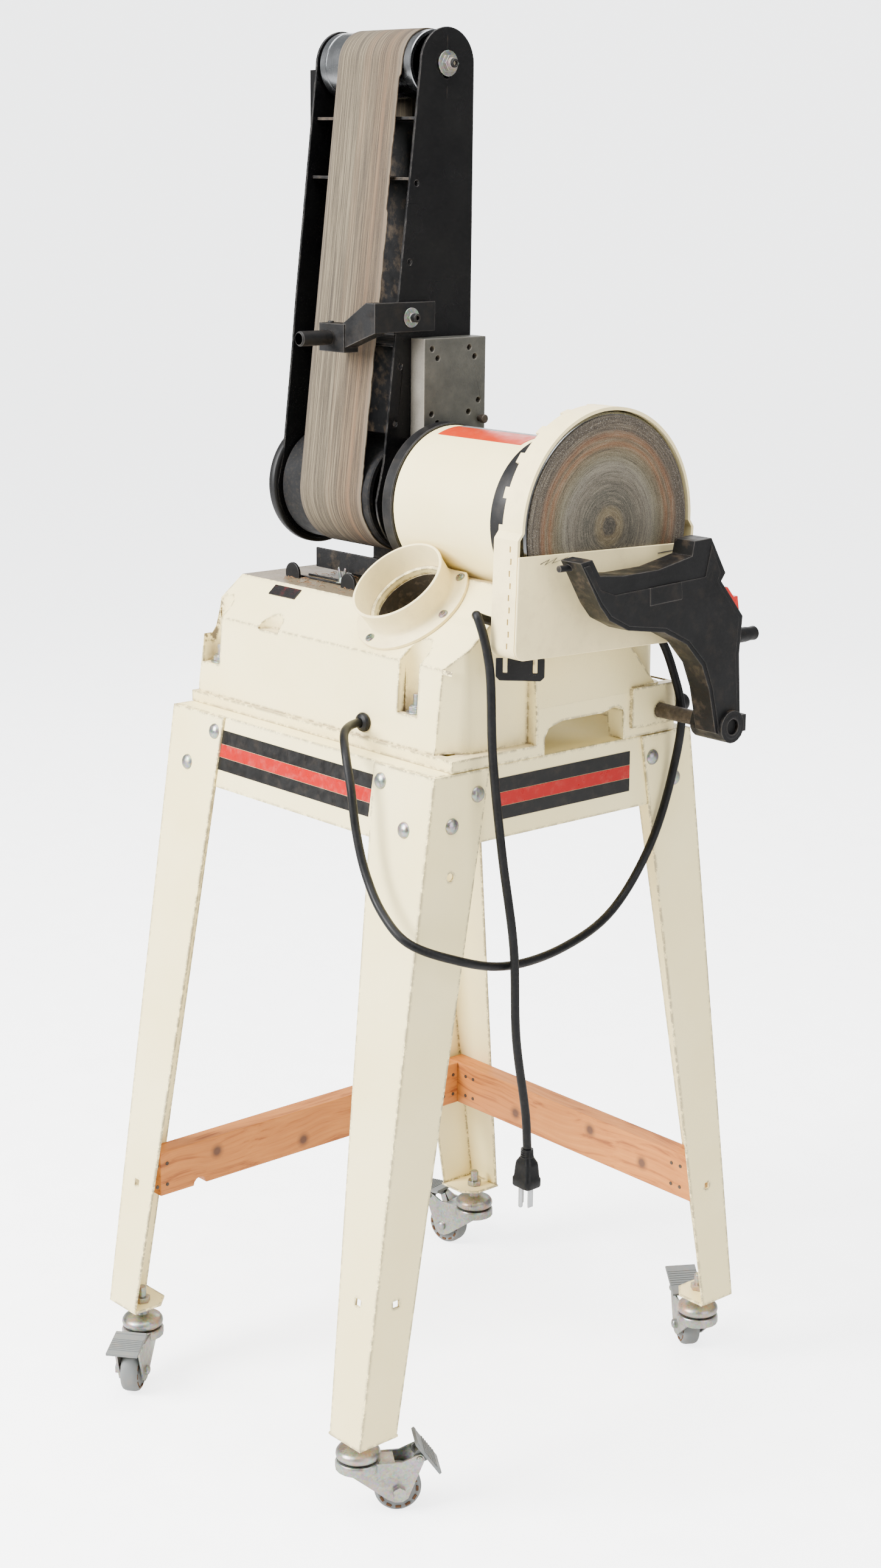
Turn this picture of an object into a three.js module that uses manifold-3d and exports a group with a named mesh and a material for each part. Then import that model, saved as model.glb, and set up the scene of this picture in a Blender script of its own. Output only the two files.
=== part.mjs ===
// A belt and disc sander on an open rolling stand, in millimetres.
// The body is modelled in stand coordinates: x and y from the stand's centre, z up from a level 5 mm above
// the floor.
// The whole group is then moved so that the row's origin is the centre of the abrasive disc's face:
// +X points out of the disc along the spindle, +Y towards the operator, +Z up.
import * as THREE from "three";
import { mergeVertices } from "three/addons/utils/BufferGeometryUtils.js";
import Module from "manifold-3d";

const wasm = await Module();
wasm.setup();

// Driving dimensions
const GAP = 0.4; // clearance left between pieces that touch
const SPINDLE_Z = 1029; // spindle axis above the floor
const DISC_RADIUS = 114.3; // 9 inch disc
const DISC_FACE_X = 274; // abrasive face from the stand's centre
const STAND_TOP_Z = 787.6;
const LEG_BOTTOM_Z = 83;
const LEG_TOP = [223.3, 185.5]; // outer corner of a leg at the stand top
const LEG_BOTTOM = [231, 286]; // outer corner of a leg at its foot
const SHEET = 2.5; // stand sheet thickness
const APRON_BOTTOM_Z = 709;
const CASTER = { x: 199, y: 262, wheelRadius: 25.4, trail: 42, wheelWidth: 20, floorZ: -5 };
const CASTER_TURN = { front_left: -50, front_right: 57, rear_left: 190, rear_right: 148 };
const PEDAL = { pivotX: 64, pivotZ: 62, inner: -18, outer: 26, halfWidth: 18.5 };
const PEDAL_PITCH = { front_left: 8, front_right: 54, rear_left: 6, rear_right: -25 };
const RAIL = { depth: 54, thick: 25, bottom: 208 };
const BASE = { x: 222, y: 161, bottom: 788, wallTop: 888, wallY: 150, platform: 929, slope: 0.85 };
const MOTOR = { radius: 81, ring: 83.5, x0: 18, x1: 235 };
const DRUM = { x0: -181.5, x1: -30, driveRadius: 62, idlerRadius: 35.2 };
const IDLER = { y: 28, z: 1482.5 };
const BELT = { x0: -147, x1: -40, thick: 1.2 };
const PLATE = { right: -13.8, left: -188, thick: 3, tailRadius: 66, edgeY: 66, headRadius: 37 };
const GUARD = { radius: 119.5, halfWidth: 125, bottom: 903, coverTop: 1006.5, x0: 240, x1: 276.8,
  lean: -1.6 };
const ROD = { y: 134, z: 813.5, radius: 8 };
const PORT = { x: 84, along: 72, flange: 66, tube: 51, mouth: 53, height: 36 };

// Material colours
function paint(color, roughness, metalness) {
  return new THREE.MeshStandardMaterial({ color, roughness, metalness });
}
const cream = paint(0xe9e2cc, 0.55, 0.1);
const creamPlastic = paint(0xeee0b8, 0.5, 0);
const blackPaint = paint(0x1d1e20, 0.45, 0.3);
const blackCast = paint(0x2a2a2b, 0.6, 0.4);
const rubber = paint(0x161616, 0.8, 0);
const zinc = paint(0xb9bcb8, 0.35, 0.8);
const steel = paint(0xc8c9ca, 0.25, 0.95);
const rustySteel = paint(0x5a4f45, 0.7, 0.6);
const aluminium = paint(0xc4c6c8, 0.35, 0.9);
const castIron = paint(0x57544c, 0.7, 0.5);
const pine = paint(0xd79a5e, 0.7, 0);
const beltCloth = paint(0x9a7f68, 0.9, 0);
const abrasive = paint(0x77736a, 0.95, 0);
const greyPlastic = paint(0x8d9293, 0.55, 0);
const copper = paint(0x6d4a33, 0.6, 0.5);
const redPlastic = paint(0xb3231c, 0.4, 0);

// Solids: every helper returns a BufferGeometry that holds position only
function toSolid(geometry) {
  const plain = geometry.index ? geometry.toNonIndexed() : geometry.clone();
  plain.deleteAttribute("normal");
  plain.deleteAttribute("uv");
  const merged = mergeVertices(plain, 1e-4);
  const triVerts = new Uint32Array(merged.index.array);
  const mesh = new wasm.Mesh({
    numProp: 3,
    vertProperties: merged.attributes.position.array,
    triVerts,
  });
  return new wasm.Manifold(mesh);
}

function fromSolid(solid) {
  const mesh = solid.getMesh();
  const geometry = new THREE.BufferGeometry();
  geometry.setAttribute("position", new THREE.BufferAttribute(mesh.vertProperties, 3));
  geometry.setIndex(new THREE.BufferAttribute(mesh.triVerts, 1));
  return geometry;
}

function join(...parts) {
  return fromSolid(parts.map(toSolid).reduce((sum, part) => sum.add(part)));
}

function cut(body, ...tools) {
  return fromSolid(tools.map(toSolid).reduce((rest, tool) => rest.subtract(tool), toSolid(body)));
}

function intersect(a, b) {
  return fromSolid(toSolid(a).intersect(toSolid(b)));
}

function outward(geometry) {
  const plain = geometry.index ? geometry.toNonIndexed() : geometry;
  const p = plain.attributes.position;
  const corner = [new THREE.Vector3(), new THREE.Vector3(), new THREE.Vector3()];
  let volume = 0;
  for (let i = 0; i < p.count; i += 3) {
    corner.forEach((v, k) => v.fromBufferAttribute(p, i + k));
    volume += corner[0].dot(corner[1].clone().cross(corner[2]));
  }
  if (volume > 0) return plain;
  for (let i = 0; i < p.count; i += 3) {
    const [a, b] = [i + 1, i + 2].map((k) => new THREE.Vector3().fromBufferAttribute(p, k));
    p.setXYZ(i + 1, b.x, b.y, b.z);
    p.setXYZ(i + 2, a.x, a.y, a.z);
  }
  return plain;
}

function box(x0, x1, y0, y1, z0, z1) {
  const geometry = new THREE.BoxGeometry(x1 - x0, y1 - y0, z1 - z0);
  return geometry.translate((x0 + x1) / 2, (y0 + y1) / 2, (z0 + z1) / 2);
}

const AXES = {
  x: new THREE.Matrix4().set(0, 0, 1, 0, 1, 0, 0, 0, 0, 1, 0, 0, 0, 0, 0, 1),
  y: new THREE.Matrix4().set(0, 1, 0, 0, 0, 0, 1, 0, 1, 0, 0, 0, 0, 0, 0, 1),
  z: new THREE.Matrix4(),
};

// A polygon drawn in the plane across an axis, (y, z), (z, x) or (x, y), and extruded along that axis
function prism(axis, points, from, to, holes = []) {
  const shape = new THREE.Shape(points.map(([u, v]) => new THREE.Vector2(u, v)));
  holes.forEach((hole) => shape.holes.push(new THREE.Path(hole.map(([u, v]) => new THREE.Vector2(u, v)))));
  const geometry = new THREE.ExtrudeGeometry(shape, { depth: to - from, bevelEnabled: false });
  return geometry.translate(0, 0, from).applyMatrix4(AXES[axis]);
}

function circle(u, v, radius, segments = 16, turn = 0) {
  return Array.from({ length: segments }, (_, i) => {
    const angle = turn + (i / segments) * Math.PI * 2;
    return [u + radius * Math.cos(angle), v + radius * Math.sin(angle)];
  });
}

function rod(axis, u, v, radius, from, to, segments = 16) {
  return prism(axis, circle(u, v, radius, segments), from, to);
}

// A closed profile of [radius, position] pairs turned about an axis that passes through (u, v)
function turned(axis, u, v, profile, segments = 24) {
  const loop = [...profile, profile[0]].map(([r, along]) => new THREE.Vector2(Math.max(r, 0), along));
  const geometry = new THREE.LatheGeometry(loop, segments);
  geometry.rotateX(Math.PI / 2).translate(u, v, 0).applyMatrix4(AXES[axis]);
  return outward(withoutSlivers(geometry));
}

function withoutSlivers(geometry) {
  const plain = geometry.toNonIndexed();
  const p = plain.attributes.position;
  const kept = [];
  for (let i = 0; i < p.count; i += 3) {
    const [a, b, c] = [0, 1, 2].map((k) => new THREE.Vector3().fromBufferAttribute(p, i + k));
    const area = b.clone().sub(a).cross(c.clone().sub(a)).length();
    if (area > 1e-6) kept.push(...a.toArray(), ...b.toArray(), ...c.toArray());
  }
  return new THREE.BufferGeometry().setAttribute("position", new THREE.Float32BufferAttribute(kept, 3));
}

// Two outlines with the same number of corners, joined by side faces; caps follow the plan shape
function loft(lower, upper) {
  const clockwise = THREE.ShapeUtils.area(lower.map(([x, y]) => new THREE.Vector2(x, y))) < 0;
  const bottom = clockwise ? [...lower].reverse() : lower;
  const top = clockwise ? [...upper].reverse() : upper;
  const count = bottom.length;
  const caps = THREE.ShapeUtils.triangulateShape(bottom.map(([x, y]) => new THREE.Vector2(x, y)), []);
  const corners = [...bottom, ...top].map((p) => new THREE.Vector3(...p));
  const faces = [];
  caps.forEach(([a, b, c]) => faces.push([a, c, b], [a + count, b + count, c + count]));
  for (let i = 0; i < count; i += 1) {
    const next = (i + 1) % count;
    faces.push([i, next, next + count], [i, next + count, i + count]);
  }
  const values = faces.flatMap((face) => face.flatMap((k) => corners[k].toArray()));
  return outward(new THREE.BufferGeometry().setAttribute("position",
    new THREE.Float32BufferAttribute(values, 3)));
}

function atHeight(outline, z) {
  return outline.map(([x, y]) => [x, y, z]);
}

function rectangle(x0, x1, y0, y1, z) {
  return atHeight([[x0, y0], [x1, y0], [x1, y1], [x0, y1]], z);
}

// A round tube along a smooth curve
function pipe(points, radius, steps, sides = 8) {
  const curve = new THREE.CatmullRomCurve3(points.map((p) => new THREE.Vector3(...p)));
  const shape = new THREE.Shape(circle(0, 0, radius, sides).map(([u, v]) => new THREE.Vector2(u, v)));
  return outward(new THREE.ExtrudeGeometry(shape, { steps, extrudePath: curve, bevelEnabled: false }));
}

const sander = new THREE.Group();
const inStand = new THREE.Group();
inStand.position.set(-DISC_FACE_X, 0, -SPINDLE_Z);
sander.add(inStand);

function add(name, geometry, material, parent = inStand) {
  const mesh = new THREE.Mesh(geometry, material);
  mesh.name = name;
  parent.add(mesh);
  return mesh;
}

// Stand: a folded top with sloping aprons, and four folded legs that splay from front to back
function legCorner(z) {
  const t = (STAND_TOP_Z - z) / (STAND_TOP_Z - LEG_BOTTOM_Z);
  return LEG_TOP.map((top, i) => top + (LEG_BOTTOM[i] - top) * t);
}

function apronRectangle(z, inset) {
  const [x, y] = legCorner(z).map((v) => v - inset);
  return rectangle(-x, x, -y, y, z);
}

const panOuter = loft(apronRectangle(APRON_BOTTOM_Z, SHEET + GAP),
  apronRectangle(STAND_TOP_Z, SHEET + GAP));
const panInner = loft(
  apronRectangle(APRON_BOTTOM_Z - 1, 2 * SHEET + GAP),
  apronRectangle(STAND_TOP_Z - SHEET, 2 * SHEET + GAP),
);
const apronHole = rod("y", 734.6, -6, 4.5, -200, -170, 10);
add("stand_top", cut(panOuter, panInner, apronHole), cream);

function angleOutline(corner, widthX, widthY, sx, sy) {
  const [x, y] = corner;
  const outline = [
    [x, y],
    [x - widthX, y],
    [x - widthX, y - SHEET],
    [x - SHEET, y - SHEET],
    [x - SHEET, y - widthY],
    [x, y - widthY],
  ];
  return outline.map(([u, v]) => [u * sx, v * sy]);
}

function leg(sx, sy) {
  const topZ = STAND_TOP_Z - 0.6;
  const lower = atHeight(angleOutline(legCorner(LEG_BOTTOM_Z), 50, 50, sx, sy), LEG_BOTTOM_Z);
  const upper = atHeight(angleOutline(legCorner(topZ), 94, 75, sx, sy), topZ);
  const [fx, fy] = legCorner(LEG_BOTTOM_Z).map((v) => v - 0.4);
  const tab = atHeight([[fx, fy], [fx - 52, fy], [fx - 52, fy - 36], [fx - 36, fy - 52], [fx, fy - 52]],
    LEG_BOTTOM_Z);
  const tabSolid = prism("z", tab.map(([x, y]) => [x * sx, y * sy]), LEG_BOTTOM_Z, LEG_BOTTOM_Z + SHEET);
  const stemHole = rod("z", sx * CASTER.x, sy * CASTER.y, 5.6, LEG_BOTTOM_Z - 2, LEG_BOTTOM_Z + 6, 12);
  const [hx, hy] = legCorner(235);
  const slotA = box(sx * (hx - 28) - 4, sx * (hx - 28) + 4, sy * hy - 8, sy * hy + 8, 231, 239);
  const slotB = box(sx * hx - 8, sx * hx + 8, sy * (hy - 28) - 4, sy * (hy - 28) + 4, 231, 239);
  const plain = cut(join(loft(lower, upper), outward(tabSolid)), stemHole, slotA, slotB);
  // Only the near right leg has a spare bolt hole in its side flange
  return sx > 0 && sy < 0 ? cut(plain, rod("x", -163.7, 681, 4.6, 215, 235, 12)) : plain;
}

const CORNERS = {
  front_left: [-1, -1],
  front_right: [1, -1],
  rear_left: [-1, 1],
  rear_right: [1, 1],
};
for (const [corner, [sx, sy]] of Object.entries(CORNERS)) add(`leg_${corner}`, leg(sx, sy), cream);

// Wooden stretchers nailed inside the left and rear leg flanges
const railTop = RAIL.bottom + RAIL.depth;
const railX = legCorner(railTop)[0] - SHEET - GAP - 0.2;
const railY = legCorner(railTop)[1] - SHEET - GAP - 0.2;
const railNotch = rod("x", -175, RAIL.bottom, 9, -railX - 1, -railX + RAIL.thick + 1, 12);
const leftRail = box(-railX, -railX + RAIL.thick, -railY + 26, railY - RAIL.thick - GAP, RAIL.bottom,
  railTop);
add("rail_left", cut(leftRail, railNotch), pine);
add("rail_rear", box(-railX + 4, 208, railY - RAIL.thick, railY, RAIL.bottom, railTop), pine);

// Casters: a fixed stem with its nut and race cap, a swivelling fork, a wheel and a brake pedal.
// Each is built about its own stem with the fork trailing towards +X, then turned.
const axleZ = CASTER.wheelRadius;
const t0 = CASTER.trail;
const tabZ = LEG_BOTTOM_Z - CASTER.floorZ;

function casterStem() {
  const cap = [
    [0, 60.2], [19, 60.2], [24, 66], [22.5, 72], [15, 75], [7.5, 76.5], [7.5, tabZ - GAP], [0, tabZ - GAP],
  ];
  const body = turned("z", 0, 0, cap, 16);
  const stem = rod("z", 0, 0, 5, 70, tabZ + 22, 8);
  const nut = rod("z", 0, 0, 9.5, tabZ + SHEET + GAP, tabZ + SHEET + 9, 6);
  return join(body, outward(stem), outward(nut));
}

function casterFork() {
  const crownProfile = [[0, 55.5], [22, 55.5], [22, 50], [24.5, 50], [24.5, 57.5], [23, 59.8], [0, 59.8]];
  const crown = turned("z", 0, 0, crownProfile, 18);
  const web = box(0, t0 - 4, -15, 15, 55.5, 58.5);
  const { pivotX, pivotZ } = PEDAL;
  const outline = [
    [-16, 59], [-16, 52], [t0 - 12, 17], [t0 - 4, 13], [t0 + 4, 13], [t0 + 10, 17],
    [pivotX + 5.2, pivotZ - 1.8], [pivotX + 4.4, pivotZ + 2.6], [pivotX + 1, pivotZ + 5.4],
    [pivotX - 3.5, pivotZ + 4.2], [t0 + 3, 59.5],
  ];
  const cheek = (y0) => outward(prism("y", outline.map(([x, z]) => [z, x]), y0, y0 + 2.4));
  const axle = rod("y", axleZ, t0, 4, -16.5, 16.5, 8);
  const nut = rod("y", axleZ, t0, 7.5, -20.5, -14.5, 6);
  const rivet = rod("y", axleZ, t0, 6, 14.5, 17.5, 8);
  const pin = rod("y", pivotZ, pivotX, 3, -16.6, 16.6, 8);
  return join(crown, web, cheek(-15), cheek(12.6), axle, outward(nut), outward(rivet), outward(pin));
}

function casterWheel() {
  const r = CASTER.wheelRadius;
  const h = CASTER.wheelWidth / 2;
  const tread = [
    [4.6, -h - 1], [9, -h - 1], [11, -h + 1], [r - 6, -h + 1], [r - 4, -h], [r, -h + 4],
    [r, h - 4], [r - 4, h], [r - 6, h - 1], [11, h - 1], [9, h + 1], [4.6, h + 1],
  ];
  return turned("y", axleZ, t0, tread, 18);
}

// A rocker plate above two lugs on the fork's pin: foot pressure on its outer end locks the wheel
function casterPedal(pitch) {
  const { pivotX, pivotZ, inner, outer, halfWidth } = PEDAL;
  const plate = box(inner, outer, -halfWidth, halfWidth, 6.5, 9.5);
  const lugOutline = [[6.6, -8], [6.6, 8], [-3, 6], [-6, 2.5], [-6, -2.5], [-3, -6]];
  const lug = (y0) => outward(prism("y", lugOutline, y0, y0 + 3));
  const bore = rod("y", 0, 0, 3.6, -14, 14, 10);
  const pedal = cut(join(plate, lug(-11.4), lug(8.4)), bore);
  return pedal.rotateY(THREE.MathUtils.degToRad(pitch)).translate(pivotX, 0, pivotZ);
}

for (const [corner, [sx, sy]] of Object.entries(CORNERS)) {
  const place = new THREE.Group();
  place.position.set(sx * CASTER.x, sy * CASTER.y, CASTER.floorZ);
  inStand.add(place);
  add(`caster_stem_${corner}`, casterStem(), zinc, place);
  const swivel = new THREE.Group();
  swivel.rotation.z = THREE.MathUtils.degToRad(CASTER_TURN[corner]);
  place.add(swivel);
  add(`caster_fork_${corner}`, casterFork(), zinc, swivel);
  add(`caster_wheel_${corner}`, casterWheel(), greyPlastic, swivel);
  add(`caster_pedal_${corner}`, casterPedal(PEDAL_PITCH[corner]), greyPlastic, swivel);
}

// Base casting: an open-bottomed shell with a low platform on the left and a saddle under the motor
const slopeRun = (z) => -BASE.wallY + (z - BASE.wallTop) / BASE.slope;
const platformEdge = slopeRun(BASE.platform);
const saddleZ = 963;
const saddleEdge = slopeRun(saddleZ);

function profile(topZ, topEdge, inset) {
  const y = BASE.y - 5 - inset;
  const wall = BASE.wallY - inset;
  const shoulder = BASE.wallTop - inset * 0.6;
  const edge = topEdge + inset * 0.6;
  return [
    [-y, 799 - inset * 2],
    [-wall, shoulder],
    [edge, topZ - inset],
    [-edge, topZ - inset],
    [wall, shoulder],
    [y, 799 - inset * 2],
  ];
}

const lowBlock = prism("x", profile(BASE.platform, platformEdge, 0), -216, 208);
const highBlock = prism("x", profile(saddleZ, saddleEdge, 0), 16, 208);
const flange = box(-BASE.x, BASE.x, -BASE.y, BASE.y, BASE.bottom, 800);
const pedestal = loft(rectangle(185, BASE.x, -45, 146, 799), rectangle(185, BASE.x, -45, 146, 838));
const pedestalTop = loft(rectangle(185, BASE.x, -45, 134, 837.5), rectangle(185, 214.5, -45, 88, 898));
const boss = box(186, 226, 92, 158, 799, 842);
const hollowLow = prism("x", profile(BASE.platform, platformEdge, 8), -207, 198);
const hollowHigh = prism("x", profile(saddleZ, saddleEdge, 8), 25, 198);
const hollowFoot = box(-210, 200, -149, 149, BASE.bottom - 1, 801);
const saddleCut = rod("x", 0, SPINDLE_Z, MOTOR.ring + 0.7, 15, 230, 30);
const hollowCut = rod("x", 0, SPINDLE_Z, MOTOR.ring + 9, 10, 230, 20);
const blockCavity = cut(join(hollowLow, hollowHigh), hollowCut);

// The left end leans inwards, and the near right corner is chamfered
const leftLean = loft(rectangle(-240, -217, -170, 170, 801), rectangle(-240, -203, -170, 170, 940));
const chamfer = (sy) =>
  loft(
    atHeight([[184, -165 * sy], [215, -165 * sy], [215, -112 * sy]], 800.2),
    atHeight([[200, -140 * sy], [212, -140 * sy], [212, -122 * sy]], 942),
  );

// The cavity keeps clear of the chamfers, so that the wall has its thickness there too
const insideChamfer = (sy) =>
  loft(
    atHeight([[162, -187 * sy], [260, -190 * sy], [223, -82 * sy]], 780),
    atHeight([[177, -161 * sy], [260, -190 * sy], [222, -92 * sy]], 950),
  );
const cavity = join(cut(blockCavity, insideChamfer(1), insideChamfer(-1)), hollowFoot);

// Bolt pockets in the wall, the arched opening in the right foot, and the port and cord holes
const pocketR = 15.5;
const pocket = (x) => join(
  box(x - pocketR, x + pocketR, -170, -140, 834, 925),
  rod("z", x, -140, pocketR, 834, 925, 20),
);
const pocketBack = (x) => box(Math.max(x - pocketR - 5, -206), x + pocketR + 5, -142, -111, 826, 900);
const scallop = rod("z", -94, -152, 18, 885, 925, 20);
const scallopFloor = box(-116, -72, -146, -124, 878, 900);
const archPoints = [[-33, 787], [-33, 806], [-27, 816], [-8, 821], [50, 821], [72, 826], [82, 820],
  [83, 787]];
const arch = prism("x", archPoints, 196, 240);
const rodHole = rod("x", ROD.y, ROD.z, ROD.radius + 0.5, 170, 240, 16);
const knobHole = rod("y", ROD.z, 213, 4.6, ROD.y, 170, 12);
const cordHole = rod("y", 815, 77, 7.5, -170, -130, 12);

const portSlope = Math.atan(BASE.slope);
const portY = -BASE.wallY + PORT.along * Math.cos(portSlope);
const portZ = BASE.wallTop + PORT.along * Math.sin(portSlope);
function onSlope(geometry) {
  return geometry.rotateX(portSlope).translate(PORT.x, portY, portZ);
}
const portHole = onSlope(rod("z", 0, 0, 42, -20, 20, 18));

let casting = join(lowBlock, highBlock, flange, pedestal, pedestalTop, boss);
casting = cut(casting, cavity, saddleCut, leftLean, chamfer(1), chamfer(-1), arch);
const blockOnly = prism("x", profile(saddleZ, saddleEdge, 0.5), -212, 200);
const backs = join(pocketBack(-195), pocketBack(143), scallopFloor);
casting = join(casting, intersect(backs, blockOnly));
casting = cut(casting, pocket(-195), pocket(143), scallop, rodHole, knobHole, cordHole, portHole);
add("base_casting", casting, cream);

// Dust port: a flanged tube square to the slope, its flange cut back round the motor
const portProfile = [[44, GAP], [PORT.flange, GAP], [PORT.flange, 4], [PORT.tube, 6],
  [PORT.mouth, PORT.height], [PORT.mouth - 3, PORT.height], [PORT.tube - 3, 8], [44, 6]];
const motorClear = rod("x", 0, SPINDLE_Z, MOTOR.ring + 1.2, 0, 240, 30);
add("dust_port", cut(onSlope(turned("z", 0, 0, portProfile, 26)), motorClear), creamPlastic);

// Motor: housing, end bells, stator, bearings and the shaft that carries the drum and the disc
add(
  "motor_body",
  turned("x", 0, SPINDLE_Z,
    [[MOTOR.radius - 5, 34], [MOTOR.radius, 34], [MOTOR.radius, 187], [MOTOR.radius - 5, 187]], 30),
  cream,
);
const leftBell = [[10.6, -5], [30, -5], [30, 18], [MOTOR.ring, 18], [MOTOR.ring, 33.6], [20.6, 33.6],
  [20.6, 21], [10.6, 21]];
add("motor_end_left", turned("x", 0, SPINDLE_Z, leftBell, 30), blackPaint);
const rightBell = [
  [20.6, 187.4], [MOTOR.ring, 187.4], [MOTOR.ring, 214], [74, MOTOR.x1], [10.6, MOTOR.x1], [10.6, 204],
    [20.6, 204],
];
add("motor_end_right", turned("x", 0, SPINDLE_Z, rightBell, 30), blackPaint);
add("motor_stator", turned("x", 0, SPINDLE_Z, [[54, 60], [74.6, 60], [74.6, 150], [54, 150]], 20), copper);
for (const [side, x] of [["left", 21.4], ["right", 191.6]])
  add(`bearing_${side}`, turned("x", 0, SPINDLE_Z, [[9.4, x], [20, x], [20, x + 12], [9.4, x + 12]], 16),
    steel);
const shaft = [[0, -178], [9, -178], [9, 64], [52, 64], [52, 146], [9, 146], [9, 262], [0, 262]];
add("motor_shaft", turned("x", 0, SPINDLE_Z, shaft, 16), steel);
const driveProfile = [[9.4, -176], [18, -176], [18, -112], [56, -112], [56, -181.5], [62, -181.5],
  [62, -30], [56, -30], [56, -100], [18, -100], [18, -34], [9.4, -34]];
add("drive_drum", turned("x", 0, SPINDLE_Z, driveProfile, 28), rubber);
const discProfile = [[0, 262.4], [9.4, 262.4], [9.4, 236], [20, 236], [24, 256], [DISC_RADIUS, 260],
  [DISC_RADIUS, 272], [0, 272]];
add("disc_plate", turned("x", 0, SPINDLE_Z, discProfile, 36), aluminium);
// The middle of the sheet stands 0.2 mm proud. That step is assumed: it gives the one part of the
// face that the guard cover doesn't overhang a flat of its own
const sheetRim = DISC_RADIUS - 0.3;
const sheetProfile = [
  [0, 272.2], [sheetRim, 272.2], [sheetRim, DISC_FACE_X - 0.2], [19, DISC_FACE_X - 0.2], [19, DISC_FACE_X],
    [0, DISC_FACE_X],
];
add("abrasive_disc", turned("x", 0, SPINDLE_Z, sheetProfile, 36), abrasive);

// Disc guard: a D-shaped shell with a notched rear rim, and the flat cover over the lower half
function guardOutline(inset) {
  const r = GUARD.radius - inset;
  const w = GUARD.halfWidth - inset;
  const low = GUARD.bottom + inset;
  const arc = Array.from({ length: 25 }, (_, i) => {
    const angle = (i / 24) * Math.PI;
    return [r * Math.cos(angle), SPINDLE_Z + r * Math.sin(angle)];
  });
  return [...arc, [-w, 1022], [-w, low + 12], [-w + 12, low], [w - 12, low], [w, low + 12], [w, 1022]];
}
function leaned(geometry) {
  const about = THREE.MathUtils.degToRad(GUARD.lean);
  return geometry.translate(0, 0, -SPINDLE_Z).rotateX(about).translate(0, 0, SPINDLE_Z);
}
const shellFront = DISC_FACE_X;
const shell = prism("x", guardOutline(0), GUARD.x0, shellFront);
const shellHollow = prism("x", guardOutline(3.5), 249, shellFront + 1);
const rearHollow = prism("x", guardOutline(7), GUARD.x0 - 1, 246.5);
const shaftHole = rod("x", 0, SPINDLE_Z, 26, 215, 260, 20);
const notches = Array.from({ length: 10 }, (_, i) => {
  const notch = box(GUARD.x0 - 1, GUARD.x0 + 5.4, 106, 130, -13, 13);
  return notch.rotateX(THREE.MathUtils.degToRad(9 + i * 18)).translate(0, 0, SPINDLE_Z);
});
const vents = [925, 950, 975].map((z) => box(264, 270, -130, -115, z, z + 14));
const guardShell = cut(shell, shellHollow, rearHollow, shaftHole, ...notches, ...vents);
add("disc_guard", leaned(guardShell), creamPlastic);
const coverOutline = [
  [-125, GUARD.coverTop], [-125, 915], [-113, 903], [113, 903], [125, 915], [125, GUARD.coverTop],
];
add("guard_cover", leaned(prism("x", coverOutline, shellFront + GAP, GUARD.x1)), creamPlastic);

// Slotted strap set across the corner below the guard
const strapOutline = [[-24.5, 904], [-24.5, 885], [-20.5, 881], [20.5, 881], [24.5, 885], [24.5, 904]];
const strapSlots = [-15, 15].map((x) => box(x - 2.2, x + 2.2, -3, 3, 889, 906));
const strap = cut(outward(prism("y", strapOutline.map(([x, z]) => [z, x]), -1.3, 1.3)), ...strapSlots);
add("guard_bracket", strap.rotateZ(Math.PI / 4).translate(255, -101, 0), blackPaint);

// Chip deflector channel on the platform, below the drive drum
const channelOuter = box(-141, -18, -46, 40, 940, 962);
const channelInner = box(-142, -17, -43.5, 37.5, 942.5, 963);
const channelFoot = box(-120, -40, -12, 12, BASE.platform + GAP, 941);
add("dust_channel", join(cut(channelOuter, channelInner), channelFoot), blackPaint);

// Belt arm: two side plates hung on the left motor bell, a platen and a tie between them
const tail = { y: 0, z: SPINDLE_Z, r: PLATE.tailRadius };
function arc(centreY, centreZ, radius, fromDeg, toDeg, steps) {
  return Array.from({ length: steps + 1 }, (_, i) => {
    const angle = THREE.MathUtils.degToRad(fromDeg + ((toDeg - fromDeg) * i) / steps);
    return [centreY + radius * Math.cos(angle), centreZ + radius * Math.sin(angle)];
  });
}
const sideOutline = [
  ...arc(tail.y, tail.z, tail.r, 180, 360, 14),
  ...arc(IDLER.y + 1, IDLER.z, PLATE.headRadius, 0, 180, 12),
  [-38, 1233],
  [-44, 1173],
  [-56, 1069],
];
const axleSlot = [...arc(IDLER.y, IDLER.z + 1, 6.6, 0, 180, 6),
  ...arc(IDLER.y, IDLER.z - 9, 6.6, 180, 360, 6)];
const plateHoles = [[-13, 1360], [-22, 1279], [-34, 1170], [-41, 1110]].map(([y, z]) => circle(y, z, 3, 6));
const shaftSlot = circle(0, SPINDLE_Z, 31, 16);
add(
  "arm_plate_right",
  prism("x", sideOutline, PLATE.right, PLATE.right + PLATE.thick, [axleSlot, shaftSlot, ...plateHoles]),
  blackPaint,
);
const leftPlate = prism("x", sideOutline, PLATE.left, PLATE.left + PLATE.thick, [axleSlot]);
const fender = turned("x", 0, SPINDLE_Z,
  [[58, -196], [66, -198], [70.5, -193], [70.5, -187], [66, -185], [58, -187]], 28);
add("arm_plate_left", join(leftPlate, fender), blackPaint);
const hubProfile = [[30.5, -10.3], [58, -10.3], [58, 6], [50, 10], [50, 17.4], [30.5, 17.4]];
add("arm_hub", turned("x", 0, SPINDLE_Z, hubProfile, 24), blackCast);
const innerX = [PLATE.left + PLATE.thick + GAP, PLATE.right - GAP];
const platenFace = box(...innerX, 57.5, 60, 1066, 1428);
const platenTop = box(...innerX, -8, 60, 1425, 1428);
const platenLow = box(...innerX, -34, 60, 1190, 1193);
add("platen", join(platenFace, platenTop, platenLow), blackPaint);
add("arm_tie", box(...innerX, -15, 55, 1363, 1366), blackPaint);
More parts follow.
